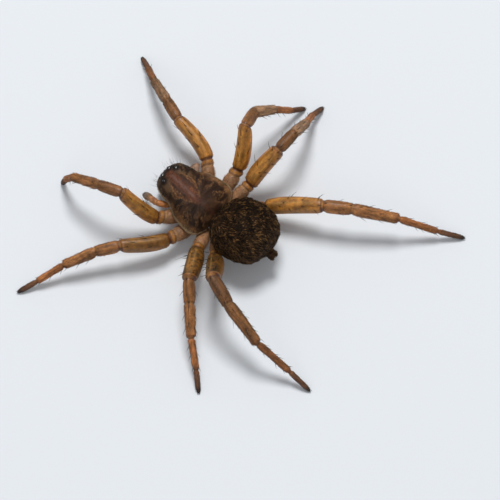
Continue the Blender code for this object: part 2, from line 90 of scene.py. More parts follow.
# spinnerets: sideways, height, length, radius, droop in degrees
SPINNERETS = ((0.17, 2.52, 0.56, 0.15, -2), (-0.17, 2.52, 0.56, 0.15, -2),
              (0.20, 2.20, 0.50, 0.17, 14), (-0.20, 2.20, 0.50, 0.17, 14))
SPINNERET_MOUND = (5.90, 6.10, 0.40, 0.42)
HIP_Z = 1.58
HIPS = {1: (1.30, -1.40), 2: (1.52, -0.38), 3: (1.46, 0.58), 4: (1.12, 1.46)}
# lengths of coxa with trochanter, femur, patella, tibia, metatarsus, tarsus
LENGTHS = {1: (2.60, 4.05, 1.95, 2.80, 2.30, 1.65), 2: (2.65, 4.05, 1.95, 2.75, 2.55, 1.85),
           3: (2.30, 3.75, 1.85, 2.65, 2.55, 1.95), 4: (2.45, 4.75, 2.30, 3.80, 3.50, 2.45)}
# half thickness of the same parts; the tarsus is as thin as the animal's
THICKNESS = {1: (0.54, 0.64, 0.48, 0.42, 0.27, 0.20), 2: (0.56, 0.63, 0.49, 0.43, 0.27, 0.20),
             3: (0.52, 0.71, 0.50, 0.44, 0.27, 0.20), 4: (0.52, 0.69, 0.54, 0.49, 0.28, 0.20)}
# how far the middle of a femur bows towards the rear of the body
BOWS = {"L1": 0.19, "R1": 0.28, "L2": 0.21, "R2": 0.19, "L3": 0.06, "R3": -0.14, "L4": 0.06, "R4": -0.15}
BOW_SKEW = 0.75
DEPTH = (1.00, 1.18, 1.14, 1.06, 1.0, 1.0)
FOOT_CENTRE_Z, SOLID_TOE = 0.20, 0.25
SWEEPS = {"L1": (-42, -68, -74, -84, -101, -103), "R1": (-41, -74, -67, -62, -55, -59),
          "L2": (-19, -38, -40, -34, -27, -28), "R2": (-4, -22, -15, 15, 19, 17),
          "L3": (18, 28, 39, 41, 48, 45), "R3": (10, 12, 4, -9, -19, -3),
          "L4": (33, 36, 69, 79, 96, 92), "R4": (44, 58, 60, 59, 59, 57)}
RISES = {"L1": (9, 46, -2, -27, -62), "R1": (14, 14, -1, -23, -32),
         "L2": (6, 10, -6, -15, -22), "R2": (19, 57, -24, -43, -49),
         "L3": (15, 26, -20, -24, -26), "R3": (16, 38, 7, -40, -46),
         "L4": (10, 45, -14, -25, -33), "R4": (9, 15, 2, -12, -25)}
# outline of each part along its length: fraction of the length, fraction of the half thickness
LEG_FORMS = (
    ((0.00, 0.62), (0.12, 0.76), (0.42, 0.98), (0.66, 1.00), (0.745, 0.90), (0.775, 0.84),
     (0.81, 0.92), (0.88, 0.97), (0.95, 0.96), (0.985, 0.86)),
    ((0.012, 0.74), (0.05, 0.85), (0.20, 0.97), (0.42, 1.00), (0.72, 0.95), (0.93, 0.87),
     (0.985, 0.79)),
    ((0.02, 0.86), (0.14, 0.97), (0.50, 1.00), (0.86, 0.93), (0.98, 0.86)),
    ((0.015, 0.90), (0.10, 1.00), (0.45, 0.96), (0.80, 0.87), (0.95, 0.86), (0.99, 0.78)),
    ((0.02, 0.84), (0.10, 1.00), (0.50, 0.96), (0.88, 0.98), (0.985, 0.86)),
    ((0.02, 0.86), (0.12, 1.00), (0.60, 1.02), (0.90, 0.92), (1.00, 0.72)),
)
LEG_PARTS = ("Coxa", "Femur", "Patella", "Tibia", "Foot")
SIDES = (("L", 1), ("R", -1))
PALP_RADIUS = 0.26
PALP_PATHS = {
    "L": ((1.02, -2.86, 1.62), (1.72, -3.20, 1.76), (2.08, -4.00, 1.76), (1.92, -4.82, 1.36),
          (1.78, -5.40, 0.90)),
    "R": ((-1.02, -2.86, 1.62), (-1.84, -3.24, 1.66), (-2.58, -3.62, 1.44), (-2.06, -4.00, 0.90),
          (-1.48, -4.42, 0.58)),
}

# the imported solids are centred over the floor: the shift is read back from two of them
_eye_low, _eye_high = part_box("Eye_PosteriorMedian_L")
_abdomen_low, _abdomen_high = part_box("Abdomen")
SHIFT = np.array(((_abdomen_low.x + _abdomen_high.x) / 2 - ABDOMEN_X * MM,
                  (_eye_low.y + _eye_high.y) / 2 - EYES[0][2] * MM, 0.0))


def linear(code):
    """Linear colour of an sRGB hex code: the power curve of sRGB undone channel by channel."""
    value = np.array([int(code[k:k + 2], 16) / 255 for k in (1, 3, 5)])
    return np.where(value <= 0.04045, value / 12.92, ((value + 0.055) / 1.055) ** 2.4)


# ---- settings a user may change ------------------------------------------------------------
def colour_setting(name, description, code):
    """A colour property whose default is an sRGB hex code."""
    return bpy.props.FloatVectorProperty(name=name, description=description, subtype="COLOR", size=3,
                                         min=0.0, max=1.0, default=tuple(linear(code)))


def length_setting(name, description, millimetres):
    """A length property in metres, given in millimetres."""
    return bpy.props.FloatProperty(name=name, description=description, unit="LENGTH",
                                   default=millimetres * MM, min=0.0, precision=6)


class SpiderSizes(bpy.types.PropertyGroup):
    """Lengths of the hairs and spines."""
    abdomen_hair: length_setting("Abdomen hair", "Length of the hair on the abdomen", 0.42)
    leg_hair: length_setting("Leg hair", "Length of the longest fine hair on the legs", 0.20)
    shield_hair: length_setting("Shield hair", "Length of the hair on the carapace", 0.16)
    spine: length_setting("Spine", "Length of a leg spine", 0.90)
    bristle: length_setting("Bristle", "Length of the bristles over the face", 0.80)


class SpiderColours(bpy.types.PropertyGroup):
    """Colours of the plates, the hair and the floor."""
    shield: colour_setting("Shield", "Sides of the carapace", "#3f2a1c")
    band: colour_setting("Band", "Median band of the carapace", "#5c3322")
    tawny: colour_setting("Tawny", "Margins and streaks of the carapace", "#94683f")
    eye: colour_setting("Eye", "Depth of the eyes", "#0b0a0b")
    abdomen: colour_setting("Abdomen", "Skin of the abdomen", "#21150e")
    abdomen_hair: colour_setting("Abdomen hair", "Lighter hair of the abdomen", "#8c6843")
    coxa: colour_setting("Coxa", "Coxae and trochanters", "#9f724e")
    femur: colour_setting("Femur", "Golden brown of the femora", "#b0742c")
    tibia: colour_setting("Tibia", "Reddish brown of patellae and tibiae", "#99663a")
    foot: colour_setting("Foot", "Orange brown of the metatarsi", "#9e6336")
    tarsus: colour_setting("Tarsus", "Dark brown of the tarsi", "#704a32")
    membrane: colour_setting("Membrane", "Pale skin in the joints", "#cda560")
    joint: colour_setting("Joint", "Dark rings and knuckles at the joints", "#45190b")
    pale_hair: colour_setting("Pale hair", "Whitish hair", "#bba684")
    black: colour_setting("Black", "Spines, claws and bristles", "#17110d")
    floor: colour_setting("Floor", "Pale board under the figure", "#e7ebef")


class SpiderStage(bpy.types.PropertyGroup):
    """Camera settings."""
    azimuth: bpy.props.FloatProperty(name="Plan angle", description="Camera's turn from +X", unit="ROTATION",
                                     default=math.radians(38.0))
    elevation: bpy.props.FloatProperty(name="Elevation", description="Camera's height angle", unit="ROTATION",
                                       default=math.radians(64.5))
    distance: length_setting("Distance", "From the camera to the middle of the floor", 320.0)
    view_angle: bpy.props.FloatProperty(name="View angle", description="Angle of view", unit="ROTATION",
                                        default=math.radians(7.14))


def tint(name):
    """One colour setting as a numpy array."""
    return np.array(getattr(bpy.context.scene.spider_colours, name))


# colours of the small markings
SHADES = {
    "head": "#604833", "wedge": "#20140e", "thorax_sheen": "#6e4c31", "neck": "#1d130d", "lobe": "#4d3021",
    "midline_sheen": "#7d645a", "rod": "#2c1b15", "band_edge": "#8a5433", "fovea": "#2a1712", "brim": "#7c5736",
    "rim": "#c9ab82", "eye_ring": "#15100e", "face": "#33261f", "chin": "#7d6348", "lens_depth": "#1c1411",
    "jaw": "#4a2c1e", "jaw_top": "#7a4a2e", "jaw_tip": "#2a1510", "fang": "#3a150d", "sternum": "#5a3b25",
    "sternum_line": "#8a6238", "mouth": "#7a5236", "lip": "#c39a6a", "abdomen_spot": "#120d0a",
    "spear": "#6b452a", "black_hair": "#120b07", "rear_hair": "#6e5a48", "fleck": "#9c7245",
    "mound": "#38281b", "spinneret": "#4c3727", "dusk_and_shade": "#5d4526", "shin_sheen": "#a98c6e", "gold_sheen_line": "#c79a52",
    "brown_line": "#5a3a18", "trochanter": "#a3691b", "toe": "#2a2522", "gold_hair": "#d59a55",
    "sole_hair": "#302823", "sky": "#f4f6fa"}


def shade(name):
    """The linear colour of one small marking."""
    return linear(SHADES[name])


# ---- making meshes -------------------------------------------------------------------------
def place(where):
    """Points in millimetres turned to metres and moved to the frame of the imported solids."""
    return np.asarray(where, float) * MM + SHIFT


def fresh_object(name, vertices, faces):
    """Object from vertices in millimetres and face index arrays of three or four columns."""
    mesh = bpy.data.meshes.new(name)
    mesh.vertices.add(len(vertices))
    mesh.vertices.foreach_set("co", place(vertices).astype(np.float32).ravel())
    sizes = np.concatenate([np.full(len(f), f.shape[1]) for f in faces])
    corners = np.concatenate([f.ravel() for f in faces]).astype(np.int32)
    mesh.loops.add(len(corners))
    mesh.loops.foreach_set("vertex_index", corners)
    mesh.polygons.add(len(sizes))
    starts = np.concatenate(([0], np.cumsum(sizes)[:-1])).astype(np.int32)
    mesh.polygons.foreach_set("loop_start", starts)
    mesh.update(calc_edges=True)
    mesh.polygons.foreach_set("use_smooth", np.full(len(sizes), True))
    if mesh.validate():
        raise RuntimeError(f"{name}: the faces are not a clean mesh")
    obj = bpy.data.objects.new(name, mesh)
    bpy.context.scene.collection.objects.link(obj)
    return obj


def tube_faces(rows, cols, flip):
    """Quads of a closed tube of rows x cols points, and fans to two end points after them."""
    i, j = np.meshgrid(np.arange(rows - 1), np.arange(cols), indexing="ij")
    k = (j + 1) % cols
    quads = np.stack((i * cols + j, i * cols + k, (i + 1) * cols + k, (i + 1) * cols + j), -1)
    j, k = np.arange(cols), (np.arange(cols) + 1) % cols
    first, last = rows * cols, rows * cols + 1
    top = (rows - 1) * cols
    start = np.stack((k, j, np.full(cols, first)), -1)
    end = np.stack((top + j, top + k, np.full(cols, last)), -1)
    quads, fans = quads.reshape(-1, 4), np.concatenate((start, end))
    return (quads[:, ::-1], fans[:, ::-1]) if flip else (quads, fans)


def signed_volume(grid):
    """A number with the sign of the volume in a tube grid, negative when its faces point inwards:
    the triple products of the two triangles of every quad about the middle, added up."""
    a, b = grid[:-1], grid[1:]
    a2, b2 = np.roll(a, -1, 1), np.roll(b, -1, 1)
    centre = grid.reshape(-1, 3).mean(0)
    a, b, a2, b2 = a - centre, b - centre, a2 - centre, b2 - centre
    return (np.cross(a, a2) * b2).sum() + (np.cross(a, b2) * b).sum()


def add_attribute(obj, name, values, dull=0.0):
    """Store one colour on every vertex, and its dullness from 0 to 1 in the fourth channel."""
    rgba = np.ones((len(values), 4), np.float32)
    rgba[:, :3] = values
    rgba[:, 3] = dull
    obj.data.attributes.new(name, "FLOAT_COLOR", "POINT").data.foreach_set("color", rgba.ravel())


def add_uv(obj, name, values):
    """Store one UV pair on every face corner from a pair on every vertex."""
    corner = np.empty(len(obj.data.loops), np.int32)
    obj.data.loops.foreach_get("vertex_index", corner)
    obj.data.uv_layers.new(name=name).data.foreach_set("uv", values[corner].astype(np.float32).ravel())


def tube_object(name, grid, paint, dull=None):
    """Closed skin from a grid of rings, with its paint and a map of the lie in millimetres.

    The lie map runs with the length of the skin in u and round it in v; v is folded back at
    half way round, so that no seam shows."""
    rows, cols, _ = grid.shape
    flip = signed_volume(grid) < 0
    ends = np.stack((grid[0].mean(0), grid[-1].mean(0)))
    obj = fresh_object(name, np.concatenate((grid.reshape(-1, 3), ends)), tube_faces(rows, cols, flip))
    colour = np.concatenate((paint.reshape(-1, 3), paint[0].mean(0)[None], paint[-1].mean(0)[None]))
    matt = np.zeros(rows) if dull is None else dull
    matt = np.concatenate((np.repeat(matt, cols), matt[[0, -1]]))
    add_attribute(obj, "paint", np.clip(colour, 0, 1), matt)
    middle = grid.mean(1)
    along = np.concatenate(([0], np.cumsum(np.linalg.norm(np.diff(middle, axis=0), axis=1))))
    girth = np.linalg.norm(np.roll(grid, -1, 1) - grid, axis=2).sum(1).mean()
    fold = np.abs(np.arange(cols) / cols * 2 - 1) * girth / 2
    lie = np.stack(np.broadcast_arrays(along[:, None], fold[None, :]), -1).reshape(-1, 2)
    add_uv(obj, "Lie", np.concatenate((lie, [(0, 0), (along[-1], 0)])))
    return obj


def smooth_curve(x, knots, values):
    """Smooth curve through knots: cubic pieces whose slope is the mean of the two sides'."""
    knots, values = np.asarray(knots, float), np.asarray(values, float)
    rise = np.diff(values) / np.diff(knots)
    slope = np.concatenate((rise[:1], (rise[1:] + rise[:-1]) / 2, rise[-1:]))
    k = np.clip(np.searchsorted(knots, x) - 1, 0, len(knots) - 2)
    span = knots[k + 1] - knots[k]
    t = np.clip((x - knots[k]) / span, 0, 1)
    return ((1 + 2 * t) * (1 - t) ** 2 * values[k] + t * (1 - t) ** 2 * span * slope[k]
            + t * t * (3 - 2 * t) * values[k + 1] + t * t * (t - 1) * span * slope[k + 1])


def bell(x, centre, width):
    """Bell curve of height one: e to the power of minus the square of (x - centre) over width."""
    return np.exp(-((np.asarray(x) - centre) / width) ** 2)


def ramp(x, low, high):
    """Smooth step from 0 at low to 1 at high: 3 t squared - 2 t cubed of the share t of the way."""
    t = np.clip((np.asarray(x) - low) / (high - low), 0, 1)
    return t * t * (3 - 2 * t)


def points(x, y, z):
    """Points from their three coordinates, each a number or an array."""
    return np.stack(np.broadcast_arrays(x, y, z), -1)


def mottle(where, size, seed):
    """Smooth random field from 0 to 1: a sum of plane waves with random headings and phases."""
    rng = np.random.default_rng(seed)
    waves = rng.normal(size=(16, 3))
    waves *= (TAU / size / np.linalg.norm(waves, axis=1) * rng.uniform(0.5, 1.4, 16))[:, None]
    total = np.cos(np.asarray(where) @ waves.T + rng.uniform(0, TAU, 16)).sum(-1) / math.sqrt(8)
    return 1 / (1 + np.exp(-2.2 * total))


def streaks(shape, along, around, seed):
    """Random field from 0 to 1 on a tube grid, drawn out along it and seamless round it.

    White noise is blurred by bells of so many rows and columns, through its Fourier sum."""
    noise = np.fft.fft2(np.random.default_rng(seed).normal(size=shape))
    u, v = np.fft.fftfreq(shape[0])[:, None], np.fft.fftfreq(shape[1])[None, :]
    noise *= np.exp(-2 * math.pi ** 2 * ((u * along) ** 2 + (v * around) ** 2))
    field = np.real(np.fft.ifft2(noise))
    return 1 / (1 + np.exp(-1.8 * field / field.std()))


def mix(base, colour, amount):
    """Blend at every point: base x (1 - amount) + colour x amount."""
    amount = np.asarray(amount)[..., None]
    return base * (1 - amount) + colour * amount


def mottled(grid, colour, low, spread, size, seed):
    """One colour over a grid, times low + spread x a mottle of the given size."""
    return np.broadcast_to(colour, grid.shape) * (low + spread * mottle(grid, size, seed)[..., None])


# ---- making hair ---------------------------------------------------------------------------
def surface_frame(grid):
    """Unit normals and lengthwise tangents of a tube grid, by differences along both ways."""
    along = np.gradient(grid, axis=0)
    around = np.roll(grid, -1, 1) - np.roll(grid, 1, 1)
    if signed_volume(grid) < 0:
        around = -around
    normal = np.cross(around, along)
    normal /= np.linalg.norm(normal, axis=2, keepdims=True) + 1e-12
    along /= np.linalg.norm(along, axis=2, keepdims=True) + 1e-12
    return normal, along


def scatter(grid, count, rng, weight=None):
    """Random roots on a tube grid, as likely on a patch as its area times its weight.

    Returns root, normal, tangent, map place (length and turn from 0 to 1) and a function
    that carries any per-point field of the grid to the roots."""
    normal, along = surface_frame(grid)
    rows, cols, _ = grid.shape
    across = np.roll(grid, -1, 1) - grid
    area = np.linalg.norm(np.cross(np.diff(grid, axis=0), across[:-1]), axis=2)
    if weight is not None:
        area = area * weight[:-1]
    pick = rng.choice(area.size, count, p=area.ravel() / area.sum())
    i, j = pick // cols, pick % cols
    u, v = rng.random((count, 1)), rng.random((count, 1))
    j2 = (j + 1) % cols

    def carry(field):
        """Weighted mean of the four points round each root."""
        return ((1 - u) * (1 - v) * field[i, j] + u * (1 - v) * field[i + 1, j]
                + (1 - u) * v * field[i, j2] + u * v * field[i + 1, j2])

    n, t = carry(normal), carry(along)
    n /= np.linalg.norm(n, axis=1, keepdims=True)
    t -= n * (t * n).sum(1, keepdims=True)
    t /= np.linalg.norm(t, axis=1, keepdims=True) + 1e-12
    uv = np.stack(((i + u[:, 0]) / rows, (j + v[:, 0]) / cols), -1)
    return carry(grid), n, t, uv, carry


TUFT_PATCH = 0.003    # width of a tuft's patch on its map
TUFT_SINK = 0.02      # how deep a tuft's root sits under the skin
TUFT_SIZES = (0.7, 1.25)         # least and greatest share of the asked length and width
TUFT_LIFTS = (0.6, 1.4)          # least and greatest share of the asked lift
TUFT_FADE = (0.75, 1.0, 1.25)    # lightness at the root, half way and at the tip


def tufts(name, root, normal, lie, uv, length, width, lift, droop, paint, rng, yaw=0.35):
    """Coat of thin closed tufts: a three-sided spike in two lengths from root to tip.

    The first length leaves the skin at the angle lift, the second at lift less droop; both
    turn in the skin's plane by a random yaw. Width shrinks to 0.7 half way and 0 at the tip."""
    count = len(root)
    side = np.cross(normal, lie)
    turn = rng.normal(0, yaw, count)[:, None]
    lie = lie * np.cos(turn) + side * np.sin(turn)
    side = np.cross(normal, lie)
    length, width = (np.broadcast_to(v, count)[:, None] * rng.uniform(*TUFT_SIZES, (count, 1))
                     for v in (length, width))
    first = np.broadcast_to(lift, count)[:, None] * rng.uniform(*TUFT_LIFTS, (count, 1))
    second = first - np.broadcast_to(droop, count)[:, None]
    way = lie * np.cos(first) + normal * np.sin(first)
    way2 = lie * np.cos(second) + normal * np.sin(second)
    top = np.cross(way, side)
    base = root - normal * TUFT_SINK
    middle = base + way * length * 0.5
    tip = middle + way2 * length * 0.5
    angles = (math.pi / 2, math.pi * 7 / 6, math.pi * 11 / 6)
    ring = [side * math.cos(a) - top * math.sin(a) for a in angles]
    corners = [base + r * width * 0.5 for r in ring] + [middle + r * width * 0.35 for r in ring] + [tip]
    vertices = np.stack(corners, 1).reshape(-1, 3)
    step = np.arange(count)[:, None] * 7
    quads = np.array(((0, 1, 4, 3), (1, 2, 5, 4), (2, 0, 3, 5)))
    tris = np.array(((3, 4, 6), (4, 5, 6), (5, 3, 6), (2, 1, 0)))
    a, b, c = vertices[0] - vertices[6], vertices[1] - vertices[6], vertices[4] - vertices[6]
    if np.dot(np.cross(b - a, c - a), vertices[0] - vertices[:3].mean(0)) < 0:
        quads, tris = quads[:, ::-1], tris[:, ::-1]
    faces = ((step[:, :, None] + quads[None]).reshape(-1, 4), (step[:, :, None] + tris[None]).reshape(-1, 3))
    obj = fresh_object(name, vertices, faces)
    tone = rng.normal(1.0, 0.16, (count, 1)).clip(0.5, 1.6)
    fade = np.repeat(TUFT_FADE, (3, 3, 1))[None, :, None]
    add_attribute(obj, "paint", np.clip(((paint * tone)[:, None, :] * fade).reshape(-1, 3), 0, 1))
    patch = np.array(((-1, -1), (0, -1), (1, -1), (-1, 0), (0, 0), (1, 0), (0, 1))) * TUFT_PATCH / 2
    add_uv(obj, "OFBake", (uv[:, None, :] + patch[None]).reshape(-1, 2))
    return obj


SPIKE_SKEW = (0.013, 0.007, 0.017)    # keeps the cross vector of a straight spine from vanishing
SPIKE_FADE = (0.7, 2.2)               # lightness of a spine at its root and at its tip


def spikes(name, root, way, bend, length, width, sides, rows, colour):
    """Round tapering spines: a circle that shrinks to a point along a path that bends evenly.

    For t from 0 to 1 the path is root + length x (way x t + bend x t squared), and the radius
    is half the width x (1 - 0.96 x t to the power 1.5). Spines grow lighter towards the tip."""
    t = np.linspace(0, 1, rows)[None, :, None]
    length, width = (np.broadcast_to(v, len(root))[:, None, None] for v in (length, width))
    path = root[:, None, :] + way[:, None, :] * length * t + bend[:, None, :] * length * t * t
    across = np.cross(way, bend + np.array(SPIKE_SKEW))
    across /= np.linalg.norm(across, axis=1, keepdims=True)
    up = np.cross(across, way)
    a = np.arange(sides) * TAU / sides
    ring = across[:, None, :] * np.cos(a)[None, :, None] + up[:, None, :] * np.sin(a)[None, :, None]
    radius = width * (1 - t ** 1.5 * 0.96) / 2
    grid = path[:, :, None, :] + ring[:, None, :, :] * radius[:, :, None, :]
    quads, fans = tube_faces(rows, sides, flip=False)
    if signed_volume(grid[0]) < 0:
        quads, fans = quads[:, ::-1], fans[:, ::-1]
    ends = np.stack((grid[:, 0].mean(1), grid[:, -1].mean(1)), 1)
    vertices = np.concatenate((grid.reshape(len(root), -1, 3), ends), 1).reshape(-1, 3)
    step = np.arange(len(root))[:, None, None] * (rows * sides + 2)
    faces = ((quads[None] + step).reshape(-1, 4), (fans[None] + step).reshape(-1, 3))
    obj = fresh_object(name, vertices, faces)
    fade = np.concatenate((np.repeat(np.linspace(*SPIKE_FADE, rows), sides), SPIKE_FADE))
    add_attribute(obj, "paint", np.clip(np.tile(fade, len(root))[:, None] * colour, 0, 1))
    return obj


# ---- materials -----------------------------------------------------------------------------
def add(tree, kind, settings=None, links=None):
    """Add one node; settings are its properties or socket values, links feed its sockets."""
    node = tree.nodes.new(kind)
    for key, value in (settings or {}).items():
        if isinstance(key, int) or key in node.inputs:
            node.inputs[key].default_value = value
        else:
            setattr(node, key, value)
    for key, source in (links or {}).items():
        tree.links.new(source, node.inputs[key])
    return node


def clouded(tree, size, detail, low, high, spread):
    """Uneven paint: its colour times a level that runs from 1 - spread to 1 + spread while a
    cloud noise of the given size in millimetres runs from low to high."""
    paint = add(tree, "ShaderNodeAttribute", {"attribute_name": "paint"})
    place_map = add(tree, "ShaderNodeTexCoord")
    cloud = add(tree, "ShaderNodeTexNoise", {"Scale": 1 / (size * MM), "Detail": detail},
                {"Vector": place_map.outputs["Object"]})
    level = add(tree, "ShaderNodeMapRange", {"From Min": low, "From Max": high, "To Min": 1 - spread,
                                             "To Max": 1 + spread}, {"Value": cloud.outputs["Fac"]})
    shaded = add(tree, "ShaderNodeVectorMath", {"operation": "SCALE"},
                 {0: paint.outputs["Color"], "Scale": level.outputs[0]})
    return shaded.outputs["Vector"], cloud.outputs["Fac"]


def cuticle(tree, grain, streak, gloss, relief, contrast, shine, coat=0.0):
    """Tanned cuticle, grown as a smooth skin: satin to glossy, with fine pits and lengthwise streaks.

    grain and streak are the sizes of the pits and of the streaks' width in millimetres, gloss
    is the roughness of the smooth places and relief the depth of the pits in millimetres. The
    paint is multiplied by a level from 1 - contrast to 1 + contrast, read from streaks + clouds."""
    paint = add(tree, "ShaderNodeAttribute", {"attribute_name": "paint"})
    place_map = add(tree, "ShaderNodeTexCoord")
    lie = add(tree, "ShaderNodeUVMap", {"uv_map": "Lie"})
    drawn = add(tree, "ShaderNodeMapping", {"Scale": (0.18, 1.0, 1.0)}, {"Vector": lie.outputs["UV"]})
    lines = add(tree, "ShaderNodeTexNoise", {"Scale": 1 / streak, "Detail": 4.0, "Roughness": 0.6},
                {"Vector": drawn.outputs["Vector"]})
    cloud = add(tree, "ShaderNodeTexNoise", {"Scale": 1 / (8 * grain * MM), "Detail": 5.0, "Roughness": 0.6},
                {"Vector": place_map.outputs["Object"]})
    pits = add(tree, "ShaderNodeTexVoronoi", {"Scale": 1 / (grain * MM), "feature": "F1"},
               {"Vector": place_map.outputs["Object"]})
    both = add(tree, "ShaderNodeMath", {"operation": "ADD"},
               {0: lines.outputs["Fac"], 1: cloud.outputs["Fac"]})
    level = add(tree, "ShaderNodeMapRange", {"From Min": 0.65, "From Max": 1.35, "To Min": 1 - contrast,
                                             "To Max": 1 + contrast}, {"Value": both.outputs[0]})
    shaded = add(tree, "ShaderNodeVectorMath", {"operation": "SCALE"},
                 {0: paint.outputs["Color"], "Scale": level.outputs[0]})
    uneven = add(tree, "ShaderNodeMapRange", {"From Min": 0.3, "From Max": 0.7, "To Min": gloss,
                                              "To Max": gloss + 0.22}, {"Value": cloud.outputs["Fac"]})
    rough = add(tree, "ShaderNodeMath", {"operation": "MULTIPLY_ADD", 1: 0.30},
                {0: paint.outputs["Alpha"], 2: uneven.outputs[0]})
    heights = add(tree, "ShaderNodeMath", {"operation": "MULTIPLY_ADD", 1: 0.5},
                  {0: pits.outputs["Distance"], 2: lines.outputs["Fac"]})
    bump = add(tree, "ShaderNodeBump", {"Strength": 0.8, "Distance": relief * MM},
               {"Height": heights.outputs[0]})
    return add(tree, "ShaderNodeBsdfPrincipled",
               {"IOR": 1.55, "Coat Weight": coat, "Coat Roughness": 0.12, "Specular IOR Level": shine},
               {"Base Color": shaded.outputs["Vector"], "Roughness": rough.outputs[0],
                "Normal": bump.outputs["Normal"]})


def seta(tree):
    """Hair of an arachnid, a hollow bristle of cuticle: satin, clouded in tone and in gloss."""
    colour, cloud = clouded(tree, 0.25, 3.0, 0.35, 0.65, 0.25)
    rough = add(tree, "ShaderNodeMapRange", {"From Min": 0.35, "From Max": 0.65, "To Min": 0.50,
                                             "To Max": 0.65}, {"Value": cloud})
    return add(tree, "ShaderNodeBsdfPrincipled", {"IOR": 1.5, "Specular IOR Level": 0.12},
               {"Base Color": colour, "Roughness": rough.outputs[0]})


def horn(tree):
    """Hard black-brown cuticle of spines, claws and fangs: polished, faintly clouded and uneven."""
    colour, cloud = clouded(tree, 0.1, 4.0, 0.0, 1.0, 0.4)
    bump = add(tree, "ShaderNodeBump", {"Strength": 0.4, "Distance": 0.004 * MM}, {"Height": cloud})
    return add(tree, "ShaderNodeBsdfPrincipled", {"IOR": 1.56, "Roughness": 0.25},
               {"Base Color": colour, "Normal": bump.outputs["Normal"]})


def cornea(tree):
    """Clear cuticle lens over a dark cup: near black, mirror-smooth, with a faint brown depth."""
    place_map = add(tree, "ShaderNodeTexCoord")
    cloud = add(tree, "ShaderNodeTexNoise", {"Scale": 1 / (0.2 * MM), "Detail": 2.0},
                {"Vector": place_map.outputs["Object"]})
    depth = add(tree, "ShaderNodeMix",
                {"data_type": "RGBA", 6: (*tint("eye"), 1), 7: (*shade("lens_depth"), 1)},
                {0: cloud.outputs["Fac"]})
    rough = add(tree, "ShaderNodeMapRange", {"To Min": 0.02, "To Max": 0.07}, {"Value": cloud.outputs["Fac"]})
    return add(tree, "ShaderNodeBsdfPrincipled", {"IOR": 1.5, "Coat Weight": 1.0, "Coat Roughness": 0.02},
               {"Base Color": depth.outputs[2], "Roughness": rough.outputs[0]})


def board(tree):
    """Smooth matt card: pale, with a faint fibre grain a tenth of a millimetre across."""
    colour = tint("floor")
    place_map = add(tree, "ShaderNodeTexCoord")
    fibre = add(tree, "ShaderNodeTexNoise", {"Scale": 1 / (0.1 * MM), "Detail": 3.0},
                {"Vector": place_map.outputs["Object"]})
    tone = add(tree, "ShaderNodeMix", {"data_type": "RGBA", 6: (*(colour * 0.985), 1), 7: (*colour, 1)},
               {0: fibre.outputs["Fac"]})
    return add(tree, "ShaderNodeBsdfPrincipled", {"Roughness": 0.85, "Specular IOR Level": 0.2},
               {"Base Color": tone.outputs[2]})


# kind: name, how it is made, and for a cuticle its grain, streak, gloss, relief, contrast, shine, coat
KINDS = {
    # thin tanned plate: satin, its pits and streaks break the light up
    "shield": ("Cuticle_Carapace", cuticle, (0.07, 0.05, 0.40, 0.020, 0.42, 0.09)),
    # amber cuticle of limbs: semi-gloss under a thin waxy coat, strongly streaked lengthwise
    "leg": ("Cuticle_Leg", cuticle, (0.05, 0.045, 0.30, 0.014, 0.46, 0.35, 0.08)),
    # soft skin of abdomen and stalk: matt, dark between the hairs
    "soft": ("Cuticle_Soft", cuticle, (0.06, 0.05, 0.55, 0.020, 0.40, 0.15)),
    # bristly hair: satin, uneven in tone
    "hair": ("Seta_Hair", seta, ()),
    # hard black cuticle: polished, with small bright highlights
    "horn": ("Cuticle_Black", horn, ()),
    # clear lens over a dark cup: black with one sharp glint
    "eye": ("Cuticle_Lens", cornea, ()),
    # matt pale card: takes the shadows softly
    "board": ("Card_Pale", board, ()),
}
MATERIALS = {}


def material(kind):
    """Make each named material once: its shader led to the output of an empty tree."""
    if kind not in MATERIALS:
        name, maker, settings = KINDS[kind]
        mat = bpy.data.materials.new(name)
        mat.use_nodes = True
        tree = mat.node_tree
        tree.nodes.clear()
        shader = maker(tree, *settings)
        out = add(tree, "ShaderNodeOutputMaterial")
        tree.links.new(shader.outputs["BSDF"], out.inputs["Surface"])
        MATERIALS[kind] = mat
    return MATERIALS[kind]


def hand_over(obj, kind, slot, *nodes):
    """Give a finished piece its material, let it ride and hide the solids it stands for."""
    obj.data.materials.append(material(kind))
    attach(obj, "root")
    if nodes:
        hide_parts(*nodes)
    return obj


def lay_skin(name, grid, paint, kind, slot, *nodes, dull=None):
    """Build one closed skin and hand it over."""
    return hand_over(tube_object(name, grid, paint, dull), kind, slot, *nodes)


def lay_coat(slot, *tuft_settings, **more):
    """Build one coat of tufts and hand it over."""
    return hand_over(tufts(*tuft_settings, **more), "hair", slot)


# ---- carapace ------------------------------------------------------------------------------
SHIELD_ROWS, SHIELD_COLS = 170, 150
SHIELD_CAP_ROWS, SHIELD_CAP = 7, 0.02             # rings of each rounded end, and how far it bulges
SHIELD_INSET = 0.03                               # how far the skin lies inside the solid
FOVEA_Y = -0.95                                   # middle of the slit that the grooves point at
GROOVE_ANGLES = np.radians((38, 72, 103, 136))    # radial grooves, from straight ahead
NECK_ANGLE = 0.62                                 # dark furrow between head and thorax
# outline of the raised head part and of the band in its middle: y, half width
LOBE = np.array(((-4.7, 0.40), (-4.0, 0.52), (-3.4, 0.70), (-2.85, 0.92), (-2.3, 0.93), (-1.8, 0.72),
                 (-1.2, 0.46), (-0.6, 0.34), (0.8, 0.22)))
BAND = np.array(((-4.9, 0.14), (-4.2, 0.30), (-3.4, 0.36), (-2.4, 0.34), (-1.4, 0.26), (-0.4, 0.22),
                 (0.8, 0.15)))
BAND_LEAN = 0.05      # the markings run a little to the left on their way back


